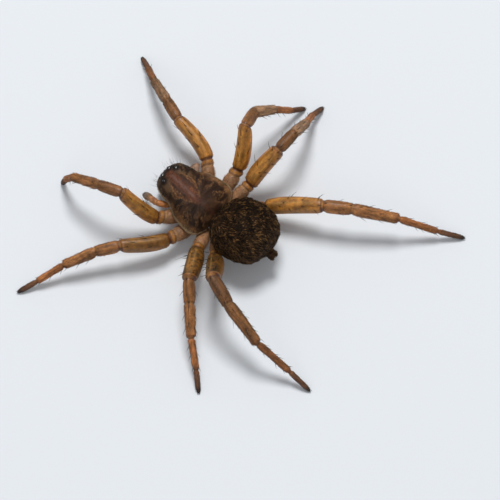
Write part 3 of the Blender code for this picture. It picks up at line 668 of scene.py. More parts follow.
def settled(upright):
    """Points of the upright shield, moved sideways by its middle line and by its lean with height."""
    moved = np.array(upright, float)
    y, z = moved[..., 1], moved[..., 2]
    moved[..., 0] += np.interp(y, SHIELD[:, 0], SHIELD[:, SHIELD_MIDDLE]) + SHIELD_ROLL * (z - MARGIN_Z)
    return moved


def eye_points(out=0.0):
    """Centres of the eight eyes on the upright shield, and their radii plus out."""
    centres = [(side * x, y, z) for _, x, y, z, _ in EYES for side in (1, -1)]
    return np.array(centres), np.array([r for *_, r in EYES for _ in (1, -1)]) + out


def shield_grid():
    """Arched plate: superellipse arcs of changing half width, crest and roundness along y.

    Both ends are closed by the end arc shrinking on a quarter circle. Mounds under the eyes,
    the slit of the fovea and shallow radial grooves are bells added along z."""
    y = np.linspace(SHIELD[0, 0], SHIELD[-1, 0], SHIELD_ROWS)
    half, crest, power = (smooth_curve(y, SHIELD[:, 0], SHIELD[:, k])
                          for k in (SHIELD_HALF, SHIELD_CREST, SHIELD_POWER))
    caps = SHIELD_CAP_ROWS
    quarter = np.linspace(0, math.pi / 2, caps + 2)[1:-1]
    shrink = np.concatenate((np.sin(quarter), np.ones(SHIELD_ROWS), np.cos(quarter)))
    pad = np.concatenate((-np.cos(quarter), np.zeros(SHIELD_ROWS), np.sin(quarter))) * SHIELD_CAP
    pick = np.concatenate((np.zeros(caps, int), np.arange(SHIELD_ROWS), np.full(caps, SHIELD_ROWS - 1)))
    y, power = y[pick] + pad, power[pick]
    half, crest = half[pick] - SHIELD_INSET, crest[pick] - SHIELD_INSET
    turn = np.arange(SHIELD_COLS) * TAU / SHIELD_COLS
    c, s = np.cos(turn)[None, :], np.sin(turn)[None, :]
    expo = 2 / power[:, None]
    level = MARGIN_Z + RIM
    x = half[:, None] * shrink[:, None] * np.sign(c) * np.abs(c) ** expo
    rise = (crest - level)[:, None] * np.abs(s) ** expo
    z = np.where(s > 0, rise, -RIM * 0.8 * np.abs(s) ** 0.35)
    middle = (crest - level)[:, None] * 0.35
    z = level + middle + (z - middle) * shrink[:, None]
    grid = points(x, y[:, None], z)
    grid[..., 2] += shield_relief(grid) * ramp(s, 0.02, 0.25)
    return grid


def polar(grid):
    """Distance from the fovea in plan, and the angle from straight ahead, alike on both sides."""
    dx, dy = np.abs(grid[..., 0]), grid[..., 1] - FOVEA_Y
    return np.hypot(dx, dy), np.arctan2(dx, -dy)


def shield_relief(grid):
    """Height in millimetres added to the plate at each point: the slit and the radial grooves go
    down by bells across them, the eyes' mounds go up, and a fine mottle makes the rest uneven."""
    reach, turn = polar(grid)
    x, y = grid[..., 0], grid[..., 1]
    high = -0.13 * bell(x, 0, 0.06) * ramp(y, FOVEA_Y - 0.55, FOVEA_Y - 0.2) * ramp(-y, 0.40, 0.90)
    groove_length = ramp(reach, 0.25, 0.7) * ramp(-reach, -2.7, -1.7)
    for angle in GROOVE_ANGLES:
        away = turn - angle
        across = bell(reach * np.sin(np.clip(away, -1.5, 1.5)), 0, 0.06 + 0.05 * reach)
        high -= 0.055 * across * groove_length * (np.abs(away) < 1.2)
    for centre, radius in zip(*eye_points()):
        away = np.linalg.norm(grid - centre, axis=-1)
        high += 0.35 * radius * bell(away, 0, 1.7 * radius)
    return high + 0.012 * (mottle(grid, 0.35, 5) - 0.5)


def shield_paint(grid):
    """Markings: dark sides with radial streaks, a red-brown median band edged in tawny, two dark
    rods in its front, pale margins and black round the eyes; with painted sheen in patches on the
    thorax and along the middle line, and painted shade on the near side.

    Each marking is a bell or a ramp across its own line, in millimetres or in turns about the
    fovea, times a ramp along it."""
    x, y, z = grid[..., 0], grid[..., 1], grid[..., 2]
    reach, turn = polar(grid)
    small, fine, broad = mottle(grid, 0.45, 11), mottle(grid, 0.2, 12), mottle(grid, 1.1, 13)
    lean = BAND_LEAN * np.clip(y + 3.8, 0, 3.0)
    edge = np.abs(x - lean) + 0.10 * (small - 0.5) + 0.05 * (fine - 0.5)
    half = smooth_curve(y, LOBE[:, 0], LOBE[:, 1])
    band = smooth_curve(y, BAND[:, 0], BAND[:, 1])
    head = ramp(-y - 0.9 * np.abs(x), 1.4, 2.2)
    paint = np.broadcast_to(tint("shield"), grid.shape) * (0.50 + 0.4 * broad[..., None])
    paint = mix(paint, shade("head"), head * (0.60 + 0.30 * broad))
    # thorax: dark wedges that point at the fovea, each between two thin tawny lines
    wave = turn + 0.34 * (mottle(grid, 1.2, 14) - 0.5) + 0.16 * (small - 0.5) + 0.06 * (fine - 0.5)
    outer = ramp(reach, 0.8, 1.6)
    for angle in GROOVE_ANGLES:
        wedge = ramp(bell(wave, angle, 0.17), 0.25, 0.70)
        paint = mix(paint, shade("wedge"), wedge * outer * (0.40 + 0.4 * broad))
        for away in (-0.20, 0.20):
            line = bell(wave, angle + away, 0.028 + 0.020 * small) * (1 - head)
            paint = mix(paint, tint("tawny"), line * outer * (0.14 + 0.36 * fine))
    # painted sheen: lighter patches over the thorax
    paint = mix(paint, shade("thorax_sheen"), ramp(broad, 0.60, 0.85) * (1 - head) * outer * 0.30)
    paint = mix(paint, shade("neck"), bell(wave, NECK_ANGLE, 0.16) * ramp(reach, 0.6, 1.2) * 0.65)
    # head part: brown, edged in tawny, with a red-brown band, a greyish middle line of painted sheen and two
    # dark rods
    inside = ramp(-edge, -half - 0.05, -half + 0.06) * ramp(-y, 0.7, 1.3)
    paint = mix(paint, shade("lobe") * (0.8 + 0.4 * fine[..., None]), inside * 0.85)
    stripe = ramp(-edge, -band - 0.07, -band + 0.05) * (0.25 + 0.60 * ramp(-y, 0.3, 1.3))
    paint = mix(paint, tint("band") * (0.62 + 0.76 * fine[..., None]), stripe * (0.7 + 0.3 * small))
    # painted sheen: a greyish line down the middle of the band
    midline_sheen = bell(edge, 0, 0.08) * ramp(-y, 0.9, 1.6) * ramp(y, -4.3, -3.9)
    paint = mix(paint, shade("midline_sheen"), midline_sheen * 0.55)
    rods = bell(edge, 0.55, 0.09) * ramp(y, -3.75, -3.45) * ramp(-y, 1.7, 2.2)
    paint = mix(paint, shade("rod"), rods * (0.45 + 0.5 * small))
    lobe_line = bell(edge, half, 0.045) * ramp(-y, 1.0, 1.5) * ramp(y, -3.8, -3.4)
    paint = mix(paint, tint("tawny"), lobe_line * (0.30 + 0.65 * small))
    inner_line = bell(edge, 0.70, 0.04) * ramp(y, -3.1, -2.8) * ramp(-y, 1.7, 2.1)
    paint = mix(paint, tint("tawny"), inner_line * (0.15 + 0.6 * fine))
    band_line = bell(edge, 0.33, 0.05) * ramp(y, -2.4, -1.9) * ramp(-y, 0.8, 1.2)
    paint = mix(paint, shade("band_edge"), band_line * (0.2 + 0.6 * fine))
    slit = bell(x, 0, 0.05) * ramp(y, FOVEA_Y - 0.5, FOVEA_Y - 0.3) * ramp(-y, -FOVEA_Y - 0.6, -FOVEA_Y - 0.3)
    paint = mix(paint, shade("fovea"), slit * 0.8)
    # margins: a broad brown brim and a thin pale rim; and painted shade, the near side darker than the far
    # one
    out = np.abs(x) / smooth_curve(y, SHIELD[:, 0], SHIELD[:, SHIELD_HALF])
    thorax = ramp(y, -2.9, -2.3)
    brim = ramp(out, 0.74, 0.88) * thorax * (0.45 + 0.55 * broad)
    paint = mix(paint, shade("brim") * (0.75 + 0.5 * fine[..., None]), brim * 0.62)
    # painted shade and light: the thorax darker on the spider's left (+x) and lighter on its right, as the
    # light falls
    paint = paint * (1 - 0.16 * np.clip(x, -1.6, 1.6) * thorax)[..., None]
    rim = ramp(out, 0.935, 0.985) * ramp(y, -4.9, -4.2)
    paint = mix(paint, shade("rim"), rim * (0.65 + 0.35 * small))
    # face: black between and round the eyes, brown below them
    for centre, radius in zip(*eye_points()):
        away = np.linalg.norm(grid - centre, axis=-1)
        paint = mix(paint, shade("eye_ring"), ramp(-away, -radius - 0.30, -radius - 0.06) * 0.94)
    front = ramp(-y, 4.30, 4.75) * ramp(-np.abs(x), -0.85, -0.50)
    paint = mix(paint, shade("face"), front * 0.75)
    return mix(paint, shade("chin"), ramp(-y, 4.60, 4.85) * ramp(-z, -2.66, -2.54) * 0.70)


class SPIDER_OT_shield(bpy.types.Operator):
    """Build the carapace with its relief and markings, and its thin coat."""
    bl_idname = "spider.shield"
    bl_label = "Carapace"

    COAT_COUNT, COAT_WIDTH = 9000, 0.020
    BRISTLE_COUNT, BRISTLE_WIDTH = 34, 0.016

    def execute(self, context):
        plain = shield_grid()
        grid, paint = settled(plain), shield_paint(plain)
        lay_skin("Carapace_Plate", grid, paint, "shield", "carapace", "Carapace")
        self.coat(context.scene.spider_sizes, plain, grid, paint)
        self.bristles(context.scene.spider_sizes, plain, grid)
        return {"FINISHED"}

    def coat(self, sizes, plain, grid, paint):
        """Short hairs that lie backwards and outwards, thickest on the margins and the face."""
        rng = np.random.default_rng(21)
        x, y, z = plain[..., 0], plain[..., 1], plain[..., 2]
        margin = ramp(np.abs(x) / smooth_curve(y, SHIELD[:, 0], SHIELD[:, SHIELD_HALF]), 0.80, 0.98)
        weight = (0.35 + 2.2 * margin + 1.2 * ramp(-y, 3.8, 4.6)) * ramp(z, MARGIN_Z, MARGIN_Z + 0.06)
        for centre, radius in zip(*eye_points(0.05)):
            weight = weight * ramp(np.linalg.norm(plain - centre, axis=-1), radius, radius + 0.03)
        root, normal, lie, uv, carry = scatter(grid, self.COAT_COUNT, rng, weight)
        outwards = np.stack((np.sign(root[:, 0]) * 0.5, np.zeros(len(root)), np.full(len(root), -0.4)), -1)
        lie = lie * np.where(root[:, 1:2] < -4.0, -0.2, 0.6) + outwards
        lie -= normal * (lie * normal).sum(1, keepdims=True)
        lie /= np.linalg.norm(lie, axis=1, keepdims=True) + 1e-9
        chin = ramp(-y, 4.60, 4.85) * ramp(-z, -2.72, -2.56)
        edge = carry(np.maximum(margin, chin)[..., None])[:, 0]
        pale = (rng.random(len(root)) < 0.06 + 0.6 * edge)[:, None]
        colour = np.where(pale, tint("pale_hair") * (0.45 + 0.4 * edge[:, None]), carry(paint) * 1.15)
        length = sizes.shield_hair / MM * (0.55 + 0.55 * edge)
        lay_coat("carapace", "Carapace_Coat", root, normal, lie, uv, length, self.COAT_WIDTH, 0.30, 0.25,
                 colour, rng)

    def bristles(self, sizes, plain, grid):
        """Long fine dark bristles that stand forwards over the eyes and down the face."""
        rng = np.random.default_rng(22)
        y, z = grid[..., 1], grid[..., 2]
        weight = ramp(-y, 4.1, 4.7) * ramp(z, MARGIN_Z, MARGIN_Z + 0.2) + 0.01 * ramp(-y, 0, 2)
        for centre, radius in zip(*eye_points(0.06)):
            weight = weight * (np.linalg.norm(plain - centre, axis=-1) > radius)
        root, normal, _, _, _ = scatter(grid, self.BRISTLE_COUNT, rng, weight)
        way = unit(normal * 0.9 + np.array((0, -0.5, 0.45)) + rng.normal(0, 0.22, root.shape))
        bend = np.array((0, -0.12, 0.10)) + rng.normal(0, 0.06, root.shape)
        length = sizes.bristle / MM * rng.uniform(0.45, 1.0, len(root))
        hand_over(spikes("Carapace_Bristles", root, way, bend, length, self.BRISTLE_WIDTH, 5, 6,
                         tint("black") * 2), "horn", "carapace")


# ---- eyes ----------------------------------------------------------------------------------
def ball_grid(centre, radius, rows, cols):
    """Sphere: circles of radius r sin(a) at height r cos(a) for a from pole to pole."""
    a = np.linspace(0, math.pi, rows + 2)[1:-1][:, None]
    b = (np.arange(cols) * TAU / cols)[None, :]
    ball = points(np.sin(a) * np.cos(b), np.sin(a) * np.sin(b), np.cos(a))
    return np.asarray(centre) + ball * radius


FRONT_ROW_OUT = 0.04  # how far the small front eyes bulge beyond their solids


class SPIDER_OT_eyes(bpy.types.Operator):
    """Build the eight eyes."""
    bl_idname = "spider.eyes"
    bl_label = "Eyes"

    ROWS, COLS = 24, 36

    def execute(self, context):
        for label, x, y, z, radius in EYES:
            out = FRONT_ROW_OUT * label.startswith("Anterior")
            for side, sign in SIDES:
                grid = ball_grid(settled((sign * x, y - out, z)), radius, self.ROWS, self.COLS)
                lay_skin(f"Lens_{label}_{side}", grid, np.broadcast_to(tint("eye"), grid.shape), "eye", "eye",
                         f"Eye_{label}_{side}")
        return {"FINISHED"}


# ---- jaws, mouthparts, sternum and stalk ---------------------------------------------------
X_WAY, Y_WAY, Z_WAY = (1.0, 0, 0), (0, 1.0, 0), (0, 0, 1.0)


def loft(centres, across, up, wide, tall, cols):
    """Rings about a path: centre plus across cos(a) times wide plus up sin(a) times tall.

    A single vector across or up serves for every ring."""
    a = (np.arange(cols) * TAU / cols)[None, :, None]
    across, up = np.broadcast_to(across, centres.shape), np.broadcast_to(up, centres.shape)
    wide, tall = np.asarray(wide)[:, None, None], np.asarray(tall)[:, None, None]
    return (centres[:, None, :] + across[:, None, :] * np.cos(a) * wide
            + up[:, None, :] * np.sin(a) * tall)


SKIN_SHARE = 0.97     # width of a skin inside its solid


class SPIDER_OT_jaws(bpy.types.Operator):
    """Build the two chelicerae, their pale front hair and the folded fangs."""
    bl_idname = "spider.jaws"
    bl_label = "Jaws"

    ROWS, COLS, FANG_ROWS, FANG_COLS = 46, 40, 26, 20
    HAIR_COUNT, HAIR_LENGTH, HAIR_WIDTH = 1300, 0.20, 0.022

    def execute(self, context):
        for side, sign in SIDES:
            grid = self.jaw_grid(sign)
            height = (grid[..., 2] - JAW_Z[1]) / (JAW_Z[0] - JAW_Z[1])
            paint = mottled(grid, shade("jaw"), 0.7, 0.6, 0.5, 31)
            paint = mix(paint, shade("jaw_top"), ramp(height, 0.55, 0.95) * 0.6)
            paint = mix(paint, shade("jaw_tip"), ramp(-height, -0.2, 0.0) * 0.8)
            lay_skin(f"Chelicera_Skin_{side}", grid, paint, "leg", "chelicera", f"Chelicera_{side}")
            rng = np.random.default_rng(32 + sign)
            weight = 0.4 + ramp(-grid[..., 1], 4.6, 5.0)
            root, normal, lie, uv, carry = scatter(grid, self.HAIR_COUNT, rng, weight)
            pale = rng.random((len(root), 1)) < 0.5
            colour = np.where(pale, tint("pale_hair") * 0.75, carry(paint) * 1.2)
            lay_coat("chelicera", f"Chelicera_Coat_{side}", root, normal, lie, uv, self.HAIR_LENGTH,
                     self.HAIR_WIDTH, 0.45, 0.25, colour, rng)
            fang = self.fang_grid(sign)
            tone = np.linspace(1.8, 0.5, len(fang))[:, None, None] * shade("fang")
            lay_skin(f"Fang_Horn_{side}", fang, np.broadcast_to(tone, fang.shape), "horn", "fang",
                     f"Fang_{side}")
        return {"FINISHED"}

    def jaw_grid(self, sign):
        """Upright loft whose half width follows the jaw's outline, with both ends rounded."""
        t = np.linspace(0, 1, self.ROWS)
        form = np.array(JAW_FORM)
        rounding = np.clip(t / 0.05, 0.35, 1) ** 0.5 * np.clip((1 - t) / 0.05, 0.35, 1) ** 0.5
        share = smooth_curve(t, form[:, 0], form[:, 1]) * rounding * SKIN_SHARE
        centres = points(sign * JAW_X, JAW_Y[0] + (JAW_Y[1] - JAW_Y[0]) * t,
                         JAW_Z[0] + (JAW_Z[1] - JAW_Z[0]) * t)
        return loft(centres, X_WAY, Y_WAY, JAW_HALF_WIDTH * share, JAW_HALF_DEPTH * share, self.COLS)

    def fang_grid(self, sign):
        """Tapering horn that leaves the jaw's outer corner and curls in below it."""
        t = np.linspace(0, 0.98, self.FANG_ROWS)
        bend = np.radians(FANG_BEND * t)
        centres = points(sign * (JAW_X + FANG_INSET - FANG_LENGTH * FANG_REACH * t),
                         JAW_Y[1] - 0.02 + 0.10 * t, JAW_Z[1] - FANG_BELOW - FANG_DIP * np.sin(bend))
        way = unit(points(-sign * np.cos(bend * 0.5), 0.1, -np.sin(bend * 0.5) * 0.5))
        across = unit(np.cross(way, Z_WAY))
        radius = FANG_RADIUS * (1 - t ** 1.2) ** 0.8 * SKIN_SHARE + 0.004
        return loft(centres, across, np.cross(across, way), radius, radius, self.FANG_COLS)


class SPIDER_OT_underside(bpy.types.Operator):
    """Build the sternum, the mouthparts and the stalk of the abdomen."""
    bl_idname = "spider.underside"
    bl_label = "Underside"

    STALK_ROWS, STALK_COLS = 12, 28
    STERNUM_ROWS, STERNUM_COLS = 60, 48
    MOUTH_ROWS, MOUTH_COLS = 44, 44

    def execute(self, context):
        self.sternum()
        self.mouth()
        self.stalk()
        return {"FINISHED"}

    def stalk(self):
        """Short tube along y, faintly ringed."""
        rows = self.STALK_ROWS
        y = np.linspace(PEDICEL_Y[0] - 0.05, PEDICEL_Y[1] + 0.10, rows)
        centres = points(PEDICEL_X, y, PEDICEL_Z)
        radius = PEDICEL_RADIUS * (0.94 + 0.04 * np.cos(np.arange(rows) * 2.1))
        grid = loft(centres, X_WAY, Z_WAY, radius, radius, self.STALK_COLS)
        paint = np.broadcast_to(tint("coxa") * 0.8, grid.shape)
        lay_skin("Pedicel_Skin", grid, paint, "soft", "pedicel", "Pedicel")

    def sternum(self):
        """Shield-shaped plate: ellipses along y, hung from a level top and deepest in the middle."""
        y = np.linspace(STERNUM[0, 0], STERNUM[-1, 0], self.STERNUM_ROWS)
        half = smooth_curve(y, STERNUM[:, 0], STERNUM[:, 1]) - 0.02
        deep = (STERNUM_TOP - STERNUM_BOTTOM) / 2 - 0.01
        deep = deep * (STERNUM_EDGE + (1 - STERNUM_EDGE) * half / half.max())
        centres = points(0.0, y, STERNUM_TOP - deep)
        grid = loft(centres, X_WAY, Z_WAY, half, deep, self.STERNUM_COLS)
        x, y, z = grid[..., 0], grid[..., 1], grid[..., 2]
        paint = mottled(grid, shade("sternum"), 0.75, 0.5, 0.6, 41)
        paint = mix(paint, shade("sternum_line"), bell(x, 0, 0.16) * ramp(-y, -0.8, 1.2) * 0.6)
        lay_skin("Sternum_Plate", grid, paint, "shield", "sternum", "Sternum")
        rng = np.random.default_rng(42)
        root, normal, lie, uv, carry = scatter(grid, 2600, rng, ramp(-z, -1.9, -1.6) + 1e-6)
        lay_coat("sternum", "Sternum_Coat", root, normal, lie, uv, 0.22, 0.022, 0.40, 0.25,
                 carry(paint) * 1.1, rng)

    def mouth(self):
        """Two maxillae and the lip: an oval loft parted below by a groove along the middle."""
        t = np.linspace(0, 1, self.MOUTH_ROWS)[:, None]
        a = (np.arange(self.MOUTH_COLS) * TAU / self.MOUTH_COLS)[None, :]
        low, high = MOUTH_Z
        swell = np.sin(math.pi * (0.14 + 0.70 * t)) ** 0.6 * SKIN_SHARE
        x = MOUTH_HALF_WIDTH * swell * np.cos(a)
        z = (high - low) / 2 * swell * np.sin(a)
        z = z + np.where(z < 0, MOUTH_GROOVE * (1 - t) * bell(x, 0, MOUTH_GROOVE_WIDTH), 0)
        y = MOUTH_Y[0] + (MOUTH_Y[1] - MOUTH_Y[0]) * t
        grid = points(x, y, (low + high) / 2 + z)
        y, z = grid[..., 1], grid[..., 2]
        paint = mottled(grid, shade("mouth"), 0.8, 0.4, 0.4, 43)
        paint = mix(paint, shade("lip"), ramp(-y, 3.6, 3.95) * 0.7)
        lay_skin("Mouthparts_Skin", grid, paint, "leg", "mouthparts", "Mouthparts")
        rng = np.random.default_rng(44)
        weight = ramp(-z, -1.7, -1.4) + ramp(-y, 3.5, 3.9)
        root, normal, lie, uv, carry = scatter(grid, 900, rng, weight + 1e-6)
        lay_coat("mouthparts", "Mouthparts_Coat", root, normal, -lie, uv, 0.20, 0.020, 0.6, 0.3,
                 carry(paint) * 0.7, rng)


# ---- abdomen -------------------------------------------------------------------------------
ABDOMEN_COAT_DEPTH = 0.10    # room left for the hair inside the solid
ABDOMEN_ROWS, ABDOMEN_COLS = 110, 150
ABDOMEN_COMB = 0.9    # turn of the hair in the middle of the back, where it has been brushed aside


def abdomen_grid():
    """Egg shape: superellipse along y, ellipse across, with a shallower belly towards the front."""
    k = np.arange(ABDOMEN_ROWS)
    t = (0.5 - 0.5 * np.cos(math.pi * (k + 0.5) / ABDOMEN_ROWS))[:, None]
    full = (1 - np.abs(2 * t - 1) ** ABDOMEN_ROUNDNESS) ** (1 / ABDOMEN_ROUNDNESS)
    belly = ABDOMEN_DOWN * (BELLY_LIFT[0] + (BELLY_LIFT[1] - BELLY_LIFT[0]) * t) - ABDOMEN_COAT_DEPTH
    a = (np.arange(ABDOMEN_COLS) * TAU / ABDOMEN_COLS)[None, :]
    tall = np.where(np.sin(a) > 0, ABDOMEN_UP - ABDOMEN_COAT_DEPTH, belly)
    front, back = ABDOMEN_Y[0] + 0.05, ABDOMEN_Y[1] - 0.08
    grid = points((ABDOMEN_HALF_WIDTH - ABDOMEN_COAT_DEPTH) * full * np.cos(a), front + (back - front) * t,
                  ABDOMEN_MID_Z + tall * full * np.sin(a))
    normal, _ = surface_frame(grid)
    dents = 0.05 * (mottle(grid, 0.9, 51) - 0.5) + 0.03 * (mottle(grid, 0.4, 52) - 0.5)
    return grid + normal * dents[..., None]


def abdomen_paint(grid):
    """Mottle of dark brown and black, more golden behind and on the flanks, with a faint spear
    mark in front.

    The golden share grows by ramps towards the rear and the flanks and with the height of two
    mottles, whose highest places on the back turn black."""
    x, y, z = grid[..., 0], grid[..., 1], grid[..., 2]
    t = (y - ABDOMEN_Y[0]) / (ABDOMEN_Y[1] - ABDOMEN_Y[0])
    patch = 0.6 * mottle(grid, 0.85, 53) + 0.4 * mottle(grid, 0.4, 54)
    paint = mottled(grid, tint("abdomen"), 0.8, 0.5, 0.5, 55)
    golden = 0.25 + 0.35 * ramp(t, 0.35, 0.95) + 0.30 * ramp(np.abs(x), 1.3, 2.5) + 0.5 * (patch - 0.5)
    paint = mix(paint, tint("abdomen_hair"), np.clip(golden, 0.04, 0.85))
    paint = mix(paint, shade("abdomen_spot"), ramp(patch, 0.60, 0.85) * 0.85 * ramp(z, 2.6, 3.4))
    spear = ramp(-np.abs(x), -0.34, -0.10) * ramp(t, 0.04, 0.10) * ramp(-t, -0.42, -0.34)
    return mix(paint, shade("spear"), spear * 0.35)


class SPIDER_OT_abdomen(bpy.types.Operator):
    """Build the skin of the abdomen and its dense coat."""
    bl_idname = "spider.abdomen"
    bl_label = "Abdomen"

    BACK_HAIRS, BELLY_HAIRS = 18500, 8000
    FLECKS, GOLDEN, NOT_BLACK = 0.045, 0.11, 0.40    # shares of the hair

    def execute(self, context):
        plain = abdomen_grid()
        paint = abdomen_paint(plain)
        grid = plain + np.array((ABDOMEN_X, 0, 0))
        lay_skin("Abdomen_Skin", grid, paint * 0.6, "soft", "abdomen", "Abdomen")
        length = context.scene.spider_sizes.abdomen_hair / MM
        up, x = ramp(plain[..., 2], 2.35, 2.55), plain[..., 0]
        regions = (("Left", self.BACK_HAIRS, up * (x > 0)), ("Right", self.BACK_HAIRS, up * (x <= 0)),
                   ("Belly", self.BELLY_HAIRS, 1.0001 - up))
        for k, (label, count, weight) in enumerate(regions):
            rng = np.random.default_rng(61 + k)
            root, normal, lie, uv, carry = scatter(grid, count, rng, weight)
            dice, middle = rng.random((count, 1)), self.middle(root)
            fleck = dice < self.FLECKS * mottle(root, 0.7, 66)[:, None]
            swirl = ABDOMEN_COMB * middle + (mottle(root, 0.9, 64) - 0.5) * 0.5
            side = np.cross(normal, lie)
            lie = lie * np.cos(swirl)[:, None] + side * np.sin(swirl)[:, None]
            colour = self.tones(root, carry(paint), dice, middle, fleck)
            width, lift = np.where(fleck[:, 0], 0.050, 0.032), np.where(fleck[:, 0], 0.42, 0.30)
            lay_coat("abdomen", f"Abdomen_Coat_{label}", root, normal, lie, uv,
                     length * (1 - 0.50 * middle), width, lift, 0.30, colour, rng, yaw=0.22)
        return {"FINISHED"}

    def middle(self, root):
        """1 in the middle of the back, 0 at its flanks and ends, by a ramp on the distance from it."""
        across = (root[:, 0] - ABDOMEN_X) / ABDOMEN_HALF_WIDTH
        along = (root[:, 1] - sum(ABDOMEN_Y) / 2) / (ABDOMEN_Y[1] - ABDOMEN_Y[0]) * 2
        return ramp(-np.hypot(across, along), -0.75, -0.25) * (root[:, 2] > ABDOMEN_MID_Z)

    def tones(self, root, colour, dice, middle, fleck):
        """Colour of each hair: golden, as the skin or black by its dice, lighter away from the
        middle of the back, greyer towards the rear, and tan where it is a fleck."""
        colour = np.where(dice < self.GOLDEN, tint("abdomen_hair") * 0.6 + colour * 0.3, colour)
        colour = np.where(dice > self.NOT_BLACK, shade("black_hair"), colour)
        colour = colour * (0.30 + 0.62 * mottle(root, 0.35, 65) + 0.35 * (1 - middle))[:, None]
        rear = ramp(root[:, 1], 4.3, 5.6)[:, None] * (dice < self.NOT_BLACK)
        colour = colour + (shade("rear_hair") - colour) * 0.45 * rear
        return np.where(fleck, shade("fleck"), colour)


class SPIDER_OT_spinnerets(bpy.types.Operator):
    """Build the mound and four spinnerets, with their hair."""
    bl_idname = "spider.spinnerets"
    bl_label = "Spinnerets"

    MOUND_ROWS, MOUND_COLS, ROWS, COLS = 20, 36, 26, 22
    MOUND_HAIRS, HAIRS = 1500, 420
    SHARE = 0.96     # width of the skins inside their solid

    def execute(self, context):
        rng = np.random.default_rng(71)
        grids = [self.mound_grid()] + [self.spinneret_grid(*row) for row in SPINNERETS]
        for k, grid in enumerate(grids):
            name, tone, hairs, nodes = f"Spinneret_{k}", "spinneret", self.HAIRS, ()
            if k == 0:
                name, tone, hairs, nodes = "Spinneret_Mound", "mound", self.MOUND_HAIRS, ("Spinnerets",)
            paint = mottled(grid, shade(tone), 0.7, 0.6, 0.25, 72 + k)
            lay_skin(name, grid, paint, "soft", "spinneret", *nodes)
            root, normal, lie, uv, carry = scatter(grid, hairs, rng)
            lay_coat("spinneret", name + "_Coat", root, normal, lie, uv, 0.20, 0.022, 0.35, 0.25,
                     carry(paint) * 1.1, rng)
        return {"FINISHED"}

    def mound_grid(self):
        """Blunt oval stump along y, whose width falls as the root of 1 - 0.85 t to the fourth."""
        front, back, half, tall = SPINNERET_MOUND
        middle = sum(s[1] for s in SPINNERETS) / len(SPINNERETS)
        t = np.linspace(0, 1, self.MOUND_ROWS)
        y = front - 0.12 + (back + 0.04 - front + 0.12) * t
        centres = points(ABDOMEN_X, y, middle)
        share = np.sqrt(np.clip(1 - t ** 4 * 0.85, 0, 1)) * self.SHARE
        return loft(centres, X_WAY, Z_WAY, half * share, tall * share, self.MOUND_COLS)

    def spinneret_grid(self, x, z, length, radius, droop):
        """Blunt tube, its width the root of 1 - t to the power 3.5, pinched by a bell half way."""
        lean = math.radians(-droop)
        way = np.array((0, math.cos(lean), math.sin(lean)))
        t = np.linspace(0, 1, self.ROWS)
        share = np.clip(1 - t ** 3.5, 0.06, 1) ** 0.5 * (1 - 0.10 * bell(t, 0.48, 0.05))
        root = np.array((ABDOMEN_X + x, (SPINNERET_MOUND[0] + SPINNERET_MOUND[1]) / 2, z))
        centres = root + way * (length * 0.93) * t[:, None]
        radius = radius * share * self.SHARE
        return loft(centres, X_WAY, np.cross(X_WAY, way), radius, radius, self.COLS)


# ---- limbs ---------------------------------------------------------------------------------
LIMB_STEP = 0.05      # spacing of the rings along a limb
LIMB_COLS = 32
JOINT_ROUNDING = 0.11  # length over which a joint's corner is rounded
LEG_SKIN_SHARE = 0.965  # width of a leg's skin inside its solids
# colours along a leg: setting and place, as part number + share of its length
LEG_STOPS = (("coxa", 0.0), ("coxa", 0.74), ("coxa", 0.97), ("femur", 1.03), ("femur", 1.86),
             ("tibia", 2.06), ("tibia", 3.85), ("foot", 4.1), ("foot", 4.8), ("tarsus", 5.25),
             ("tarsus", 6.0))
RING_STRENGTH = (0.95, 0.95, 0.40, 0.70, 0.35)    # darkness of the rings beside each joint


def unit(v):
    """Vectors divided by their own length."""
    return v / np.linalg.norm(v, axis=-1, keepdims=True)


def by_part(where, values):
    """Smooth curve along a leg through one value at the middle of each part."""
    return smooth_curve(where, np.arange(6) + 0.5, values)


def outline(where, forms, sizes):
    """Half width along a limb: a smooth curve through the outlines of its parts, times their sizes."""
    knots = [k + t for k, form in enumerate(forms) for t, _ in form]
    values = [share * size for form, size in zip(forms, sizes) for _, share in form]
    return smooth_curve(where, knots, values)


def blend(where, stops, colours):
    """Colour that runs evenly from stop to stop along a limb, channel by channel."""
    return np.stack([np.interp(where, stops, channel) for channel in np.transpose(colours)], -1)[:, None, :]


def hinge_of(ways, first, last):
    """Common axis of the joints: square to two of the parts, turned so that the top is up."""
    hinge = unit(np.cross(ways[first], ways[last]))
    return -hinge if np.cross(hinge, ways[1])[2] < 0 else hinge


def round_tip(grid, centre, way, reach, count):
    """Grid with its last ring shrinking on a quarter of an ellipse that reaches so far ahead."""
    quarter = np.linspace(0, math.pi / 2, count)[1:-1, None, None]
    tip = centre + (grid[-1] - centre) * np.cos(quarter) + way * np.sin(quarter) * reach
    return np.concatenate((grid, tip))


def joint_points(code):
    """Joints of a leg from the hip to the centre of the toe: each part is laid end to end by
    its length, sweep and rise, and the last is led down to the floor."""
    side, pair = (1 if code[0] == "L" else -1), int(code[1])
    joints = [np.array((side * HIPS[pair][0], HIPS[pair][1], HIP_Z))]
    toe = LENGTHS[pair][5] - SOLID_TOE
    rises = [math.radians(r) for r in RISES[code]]
    for k in range(6):
        if k == 5:
            rises.append(math.asin((FOOT_CENTRE_Z - joints[-1][2]) / toe))
        sweep, length = math.radians(SWEEPS[code][k]), (LENGTHS[pair][k] if k < 5 else toe)
        level, rise = math.cos(rises[k]), math.sin(rises[k])
        way = np.array((side * math.cos(sweep) * level, math.sin(sweep) * level, rise))
        joints.append(joints[-1] + length * way)
    return np.array(joints)


def rearward(sweep, side):
    """Level direction square to a heading, towards the rear of the body: (-side sin s, cos s, 0)."""
    s = math.radians(sweep)
    return np.array((-side * math.sin(s), math.cos(s), 0.0))


